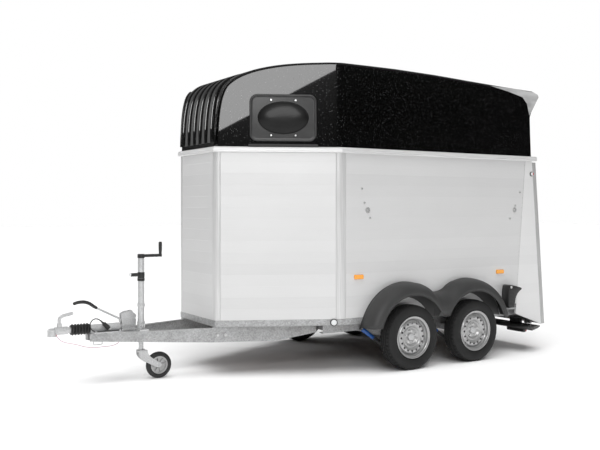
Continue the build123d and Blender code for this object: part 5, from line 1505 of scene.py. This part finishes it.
for k in range(RIBS):
    turn = 2 * pi * k / RIBS + 0.2
    out_dir = Vector((cos(turn), 0, sin(turn)))
    across_dir = Vector((-sin(turn), 0, cos(turn)))
    rows = []
    for r, wide in ((0.018, 0.0095), (0.066, 0.0055)):
        rows.append([axle_spot + out_dir * r + across_dir * x * wide + Vector((0, y, 0))
                     for x, y in ((-0.5, -0.018), (0.5, -0.018), (0.5, 0.018), (-0.5, 0.018))])
    sweep(bm, rows)
finish_piece("jockey_wheel_rim", bm, wheel_paint, "jockey_roller", smooth=30)
print("jockey wheel made")

# %% [markdown]
# ## Lamps
# The front position lamps are clear lenses in black rings, low on the slanted walls. Each clearance
# lamp at the tail is half white and half red, and two lamp clusters hang below the tray.

# %% Lamps
bm = bmesh.new()
for side in SIDES.values():
    origin, back, up, normal = slant_frame(side, SLANT_LENGTH - 0.068, 0.474, 0)
    add_turned(bm, [(0.0005, 0.026), (0.0005, 0.033), (0.012, 0.033), (0.016, 0.030), (0.016, 0.026)],
               origin, normal, 40)
    lens = [(0.001, 0), (0.001, 0.0262), (0.014, 0.0262), (0.018, 0.020), (0.020, 0.010), (0.0205, 0)]
    add_turned(bm, lens, origin, normal, 40, material=1)
    spot = along(CHEEK_LOW, CHEEK_TOP, 1.854) + Vector((-0.022, side * HALF_WIDTH, 0))
    outward = Vector((0, side, 0))
    add_turned(bm, [(0, 0), (0, 0.024), (0.006, 0.024), (0.009, 0.021), (0.009, 0)], spot, outward, 36)
    for first, last, material in ((pi / 2, 3 * pi / 2, 1), (-pi / 2, pi / 2, 2)):
        half = [(0.018 * cos(first + (last - first) * k / 12),
                 0.018 * sin(first + (last - first) * k / 12)) for k in range(13)]
        rows = [[spot + outward * out + Vector((x * grow, 0, z * grow)) for x, z in half]
                for out, grow in ((0.008, 1), (0.017, 1), (0.021, 0.8))]
        sweep(bm, rows, material=material)
    for low_y, high_y, material in ((0.480, 0.560, 3), (0.562, 0.640, 2), (0.642, 0.720, 2)):
        ys = sorted((side * low_y, side * high_y))
        add_box(bm, (2.385, ys[0] + 0.002, 0.164), (2.406, ys[1] - 0.002, 0.234), 0.006, 2, material)
    ys = sorted((side * 0.480, side * 0.720))
    add_box(bm, (2.350, ys[0], 0.160), (2.390, ys[1], 0.238), 0.006, 2)
finish_piece("lamp_set", bm, [black_plastic, clear_lens, red_lens, amber_lens], "chassis",
             "lamps", smooth=35)
bm = bmesh.new()
for side in SIDES.values():
    for x, y in ((2.16, 1.012), (2.225, 0.985), (2.29, 0.952), (2.35, 0.915), (2.395, 0.882), (2.20, 0.93),
                 (2.29, 0.87)):
        add_disc(bm, (x, side * y, 0.2495), (x, side * y, 0.2535), 0.007, 0.001, 12)
        add_disc(bm, (x, side * y, 0.2385), (x, side * y, 0.2360), 0.007, 0.001, 12)
finish_piece("tray_screws", bm, bright, "chassis", smooth=40)
print("lamps made")

# %% [markdown]
# ## Wheel chocks
# Each chock is a black moulded wedge that stands on end in a zinc holder beside the seam. Its running
# face is hollow, so its side view has one long concave edge.

# %% Wheel chocks
CHOCK_SIDE = [(1.862, 0.481), (1.856, 0.52), (1.855, 0.60), (1.858, 0.66), (1.864, 0.700), (1.880, 0.7105),
              (1.900, 0.712), (1.960, 0.700), (2.040, 0.678), (2.050, 0.668), (2.046, 0.660),
              (2.015, 0.643), (1.990, 0.622), (1.968, 0.590), (1.955, 0.550), (1.948, 0.510),
              (1.945, 0.481)]
bm = bmesh.new()
for side in SIDES.values():
    add_plate(bm, [(x, 0, z) for x, z in CHOCK_SIDE], HALF_WIDTH + 0.007, 0.092, (0, side, 0), 0.004, 2)
    for k in range(4):
        z = 0.505 + 0.036 * k
        rung_y = sorted((side * (HALF_WIDTH + 0.097), side * (HALF_WIDTH + 0.1005)))
        add_box(bm, (1.875, rung_y[0], z), (1.940, rung_y[1], z + 0.012), 0.0012, 1)
finish_piece("chock_blocks", bm, black_plastic, "chassis", "wheel_chocks", smooth=25)
bm = bmesh.new()
for side in SIDES.values():
    wall_y = sorted((side * (HALF_WIDTH + 0.0006), side * (HALF_WIDTH + 0.0045)))
    add_box(bm, (1.872, wall_y[0], 0.507), (1.990, wall_y[1], 0.700), 0.0012, 1)
    shelf_y = sorted((side * (HALF_WIDTH + 0.0006), side * (HALF_WIDTH + 0.100)))
    add_box(bm, (1.868, shelf_y[0], 0.475), (1.964, shelf_y[1], 0.479), 0.0012, 1)
    add_disc(bm, (1.894, side * (HALF_WIDTH + 0.004), 0.690), (1.894, side * (HALF_WIDTH + 0.108), 0.690),
             0.008, 0.002, 24)
    add_disc(bm, (1.894, side * (HALF_WIDTH + 0.099), 0.690), (1.894, side * (HALF_WIDTH + 0.104), 0.690),
             0.014, 0.001, 24)
finish_piece("chock_holders", bm, zinc_fine, "chassis", smooth=35)
print("chocks made")

# %% [markdown]
# ## Ramp hinges and inside fittings
# Knuckles on the ramp's foot turn about three pins on the rear sill. Inside, a padded partition hangs
# between the bars, and at the tail a curtain hangs from its roller above the ramp.

# %% Ramp hinges and latch studs
bm = bmesh.new()
for y in (-0.7, 0, 0.7):
    for lug_side in (-1, 1):
        ends = sorted((y + lug_side * 0.019, y + lug_side * 0.043))
        add_disc(bm, (2.440, ends[0], 0.262), (2.440, ends[1], 0.262), 0.0135, 0.0015, 28)
        add_box(bm, (2.446, ends[0], 0.262), (2.4535, ends[1], 0.290), 0.001, 1)
for side in SIDES.values():
    spot = along(CHEEK_LOW, CHEEK_TOP, 1.700, RAMP_THICK) + Vector((0, side * (HALF_WIDTH - 0.178), 0))
    add_disc(bm, spot, spot + RAMP_OUT * 0.022, 0.0079, 0.001, 24)
finish_piece("ramp_knuckles", bm, zinc_fine, "ramp", smooth=35)
print("ramp hinges made")

# %% [markdown]
# The partition keeps the two animals apart. Its pad is a crowned form on both faces, thin at the rim,
# with five sewn channels, so a grid is lifted by a rule, mirrored, and bridged along its rim.

# %% Padded partition
bm = bmesh.new()
bmesh.ops.create_grid(bm, x_segments=60, y_segments=34, size=0.5)
low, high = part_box("partition")
centre = (low + high) / 2
pad_length, pad_low, pad_high = high.x - low.x - 0.08, 0.70, 1.512
for vert in bm.verts:
    u, v = vert.co.x, vert.co.y
    edge = min(1, (0.5 - abs(u)) * 16, (0.5 - abs(v)) * 9)
    ridge = abs(sin(pi * (v + 0.5) * 5)) ** 0.5
    thick = 0.004 + 0.0145 * max(0.0, edge) ** 0.5 * (0.72 + 0.28 * ridge)
    vert.co = Vector((centre.x + u * pad_length, -thick, pad_low + (v + 0.5) * (pad_high - pad_low)))
made = bmesh.ops.duplicate(bm, geom=bm.verts[:] + bm.edges[:] + bm.faces[:])["geom"]
for item in made:
    if isinstance(item, bmesh.types.BMVert):
        item.co.y = -item.co.y
rim_of_pad = [e for e in bm.edges if e.is_boundary]
bmesh.ops.bridge_loops(bm, edges=rim_of_pad)
pad = finish_piece("partition_pad", bm, vinyl, "chassis", "partition", smooth=50)
bm = bmesh.new()
for x in (low.x, high.x - 0.040):
    rows = [[Vector((x + 0.02 + px, py, z)) for px, py in rounded_rectangle(0.040, 0.040, 0.008, 4)]
            for z in (low.z, high.z)]
    sweep(bm, rows)
finish_piece("partition_posts", bm, zinc_fine, "chassis", smooth=35)
print("partition made")

# %% [markdown]
# The curtain is one coated cloth with a bar in its hem. It hangs almost flat, so shallow folds that
# grow towards the hem are drawn by a rule, and Solidify gives the cloth its thickness.

# %% Rear curtain and roller
roller_low, roller_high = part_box("rear_curtain")
cloth_width, cloth_low, cloth_high = 1.72, roller_low.z + 0.004, roller_high.z - 0.03
bm = bmesh.new()
bmesh.ops.create_grid(bm, x_segments=90, y_segments=30, size=0.5)
for vert in bm.verts:
    u, v = vert.co.x, vert.co.y
    hang = 0.5 - v
    fold = 0.0028 * sin(u * 34 + 0.6 * sin(v * 3)) * hang + 0.0015 * sin(u * 61 + 1.3) * hang
    vert.co = Vector((2.2545 + fold, u * cloth_width, cloth_low + (v + 0.5) * (cloth_high - cloth_low)))
curtain = finish_piece("curtain_cloth", bm, curtain_cloth, "chassis", "rear_curtain",
                       smooth=60)
cloth_wall = curtain.modifiers.new("cloth", "SOLIDIFY")
cloth_wall.thickness = 0.0012
bm = bmesh.new()
roller_y = roller_high.y - 0.001
add_disc(bm, (2.228, -roller_y, 2.692), (2.228, roller_y, 2.692), 0.026, 0.003, 36)
add_disc(bm, (2.2545, -cloth_width / 2, cloth_low + 0.004), (2.2545, cloth_width / 2, cloth_low + 0.004),
         0.0085, 0.002, 16)
finish_piece("curtain_roller", bm, black_plastic, "chassis", smooth=40)
print("curtain made")

# %% [markdown]
# ## Finishes for the frame's own parts
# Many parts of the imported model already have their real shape: rails, tubes, levers, mats and
# brackets. They stay, and only swap their plain material for a finish.

# %% Finishes for carried-over parts
NODE_FINISHES = {
    zinc: ["chassis_rails", "drawbar_arm_left", "drawbar_arm_right"],
    # The axle tubes and cross members under the body get the darker zinc copy, which is painted shade.
    zinc_shaded_copy: ["axle_tubes", "cross_members"],
    zinc_fine: ["draw_shaft", "jockey_stem", "coupling_head", "overrun_housing", "jockey_clamp",
                "clamp_lever"],
    dark_steel: [f"swing_arm_{axle}_{side}" for axle in WHEELS for side in SIDES],
    tray_plastic: ["light_tray"],
    amber_lens: ["side_marker_lamps"],
    bright: ["fasteners", "latch_left", "latch_right", "safety_bars"],
    plywood: ["floor_deck"],
    mat_rubber: ["floor_mat", "ramp_mat"],
}
for finish, nodes in NODE_FINISHES.items():
    for node in nodes:
        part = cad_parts[node]
        if part.data.materials:
            for index in range(len(part.data.materials)):
                part.material_slots[index].link = "OBJECT"
                part.material_slots[index].material = finish
        else:
            part.data.materials.append(finish)
print("finishes on", sum(len(nodes) for nodes in NODE_FINISHES.values()), "carried-over parts")

# %% [markdown]
# ## Floor and light
# A wide pale floor catches a soft shadow. A very wide sun from above lights it evenly, and two large
# soft boxes give the glossy hood its long pale reflections. The sky is dim, and dimmest near the
# horizon, so the hood's sides stay black. Only the camera sees it as plain white.

# %% Floor
FLOOR_HALF = 60
bm = bmesh.new()
bmesh.ops.create_grid(bm, x_segments=1, y_segments=1, size=FLOOR_HALF)
floor_mesh = bpy.data.meshes.new("studio_floor")
bm.to_mesh(floor_mesh)
bm.free()
floor = bpy.data.objects.new("studio_floor", floor_mesh)
bpy.context.scene.collection.objects.link(floor)
floor_paint, tree, shader = new_finish("floor_paint", gray(0.9), 0.0, 0.9)
floor_mesh.materials.append(floor_paint)

# %% [markdown]
# The sky is one background for the rays that light things and a white one for the camera, chosen by
# the Light Path node. The sun is a wide one that glossy faces don't mirror, so the hood's gloss shows
# only the sky and the soft boxes.

# %% Sky and lights
world = bpy.data.worlds.new("studio_sky")
bpy.context.scene.world = world
world.use_nodes = True
sky = world.node_tree.nodes["Background"]
sky.inputs["Strength"].default_value = 0.30
LOW_SKY, HIGH_SKY = 0.12, 0.55  # heights of a direction, between which the sky brightens
DIM, BRIGHT = 0.04, 1.0
direction = world.node_tree.nodes.new("ShaderNodeTexCoord")
height = world.node_tree.nodes.new("ShaderNodeSeparateXYZ")
world.node_tree.links.new(direction.outputs["Generated"], height.inputs["Vector"])
brightness = between(world.node_tree, height.outputs["Z"], DIM, BRIGHT, LOW_SKY, HIGH_SKY)
world.node_tree.links.new(brightness, sky.inputs["Color"])
seen = world.node_tree.nodes.new("ShaderNodeBackground")
seen.inputs["Color"].default_value = (1, 1, 1, 1)
seen.inputs["Strength"].default_value = 1.0
mixer = world.node_tree.nodes.new("ShaderNodeMixShader")
rays = world.node_tree.nodes.new("ShaderNodeLightPath")
output = world.node_tree.nodes["World Output"]
world.node_tree.links.new(rays.outputs["Is Camera Ray"], mixer.inputs["Fac"])
world.node_tree.links.new(sky.outputs["Background"], mixer.inputs[1])
world.node_tree.links.new(seen.outputs["Background"], mixer.inputs[2])
world.node_tree.links.new(mixer.outputs["Shader"], output.inputs["Surface"])


def add_sun(name, direction, strength, spread):
    """A sun shining along a direction, as wide as a big soft box, which glossy faces don't mirror."""
    light = bpy.data.lights.new(name, "SUN")
    light.energy = strength
    light.angle = radians(spread)
    lamp = bpy.data.objects.new(name, light)
    lamp.rotation_mode = "QUATERNION"
    lamp.rotation_quaternion = Vector(direction).to_track_quat("-Z", "Y")
    lamp.visible_glossy = False
    bpy.context.scene.collection.objects.link(lamp)


def add_softbox(name, spot, target, width, height, power, roll=0.0):
    """A rectangular soft box at a spot, facing a target, rolled about its own axis."""
    light = bpy.data.lights.new(name, "AREA")
    light.shape = "RECTANGLE"
    light.size, light.size_y = width, height
    light.energy = power
    lamp = bpy.data.objects.new(name, light)
    lamp.rotation_mode = "QUATERNION"
    facing = (Vector(target) - Vector(spot)).to_track_quat("-Z", "Y")
    lamp.rotation_quaternion = facing @ Matrix.Rotation(roll, 3, "Z").to_quaternion()
    lamp.location = spot
    bpy.context.scene.collection.objects.link(lamp)


add_sun("top_light", (0.12, 0.2, -1), 3.1, 60)
add_softbox("front_box", (-4.25, -9.2, 5.40), (-0.6, -0.65, 2.4), 4.5, 3.0, 320, radians(28))
add_softbox("nose_box", (-5.6, 7.2, 4.6), (-1.1, 0, 2.3), 3.2, 2.6, 120)
print("floor and lights placed")
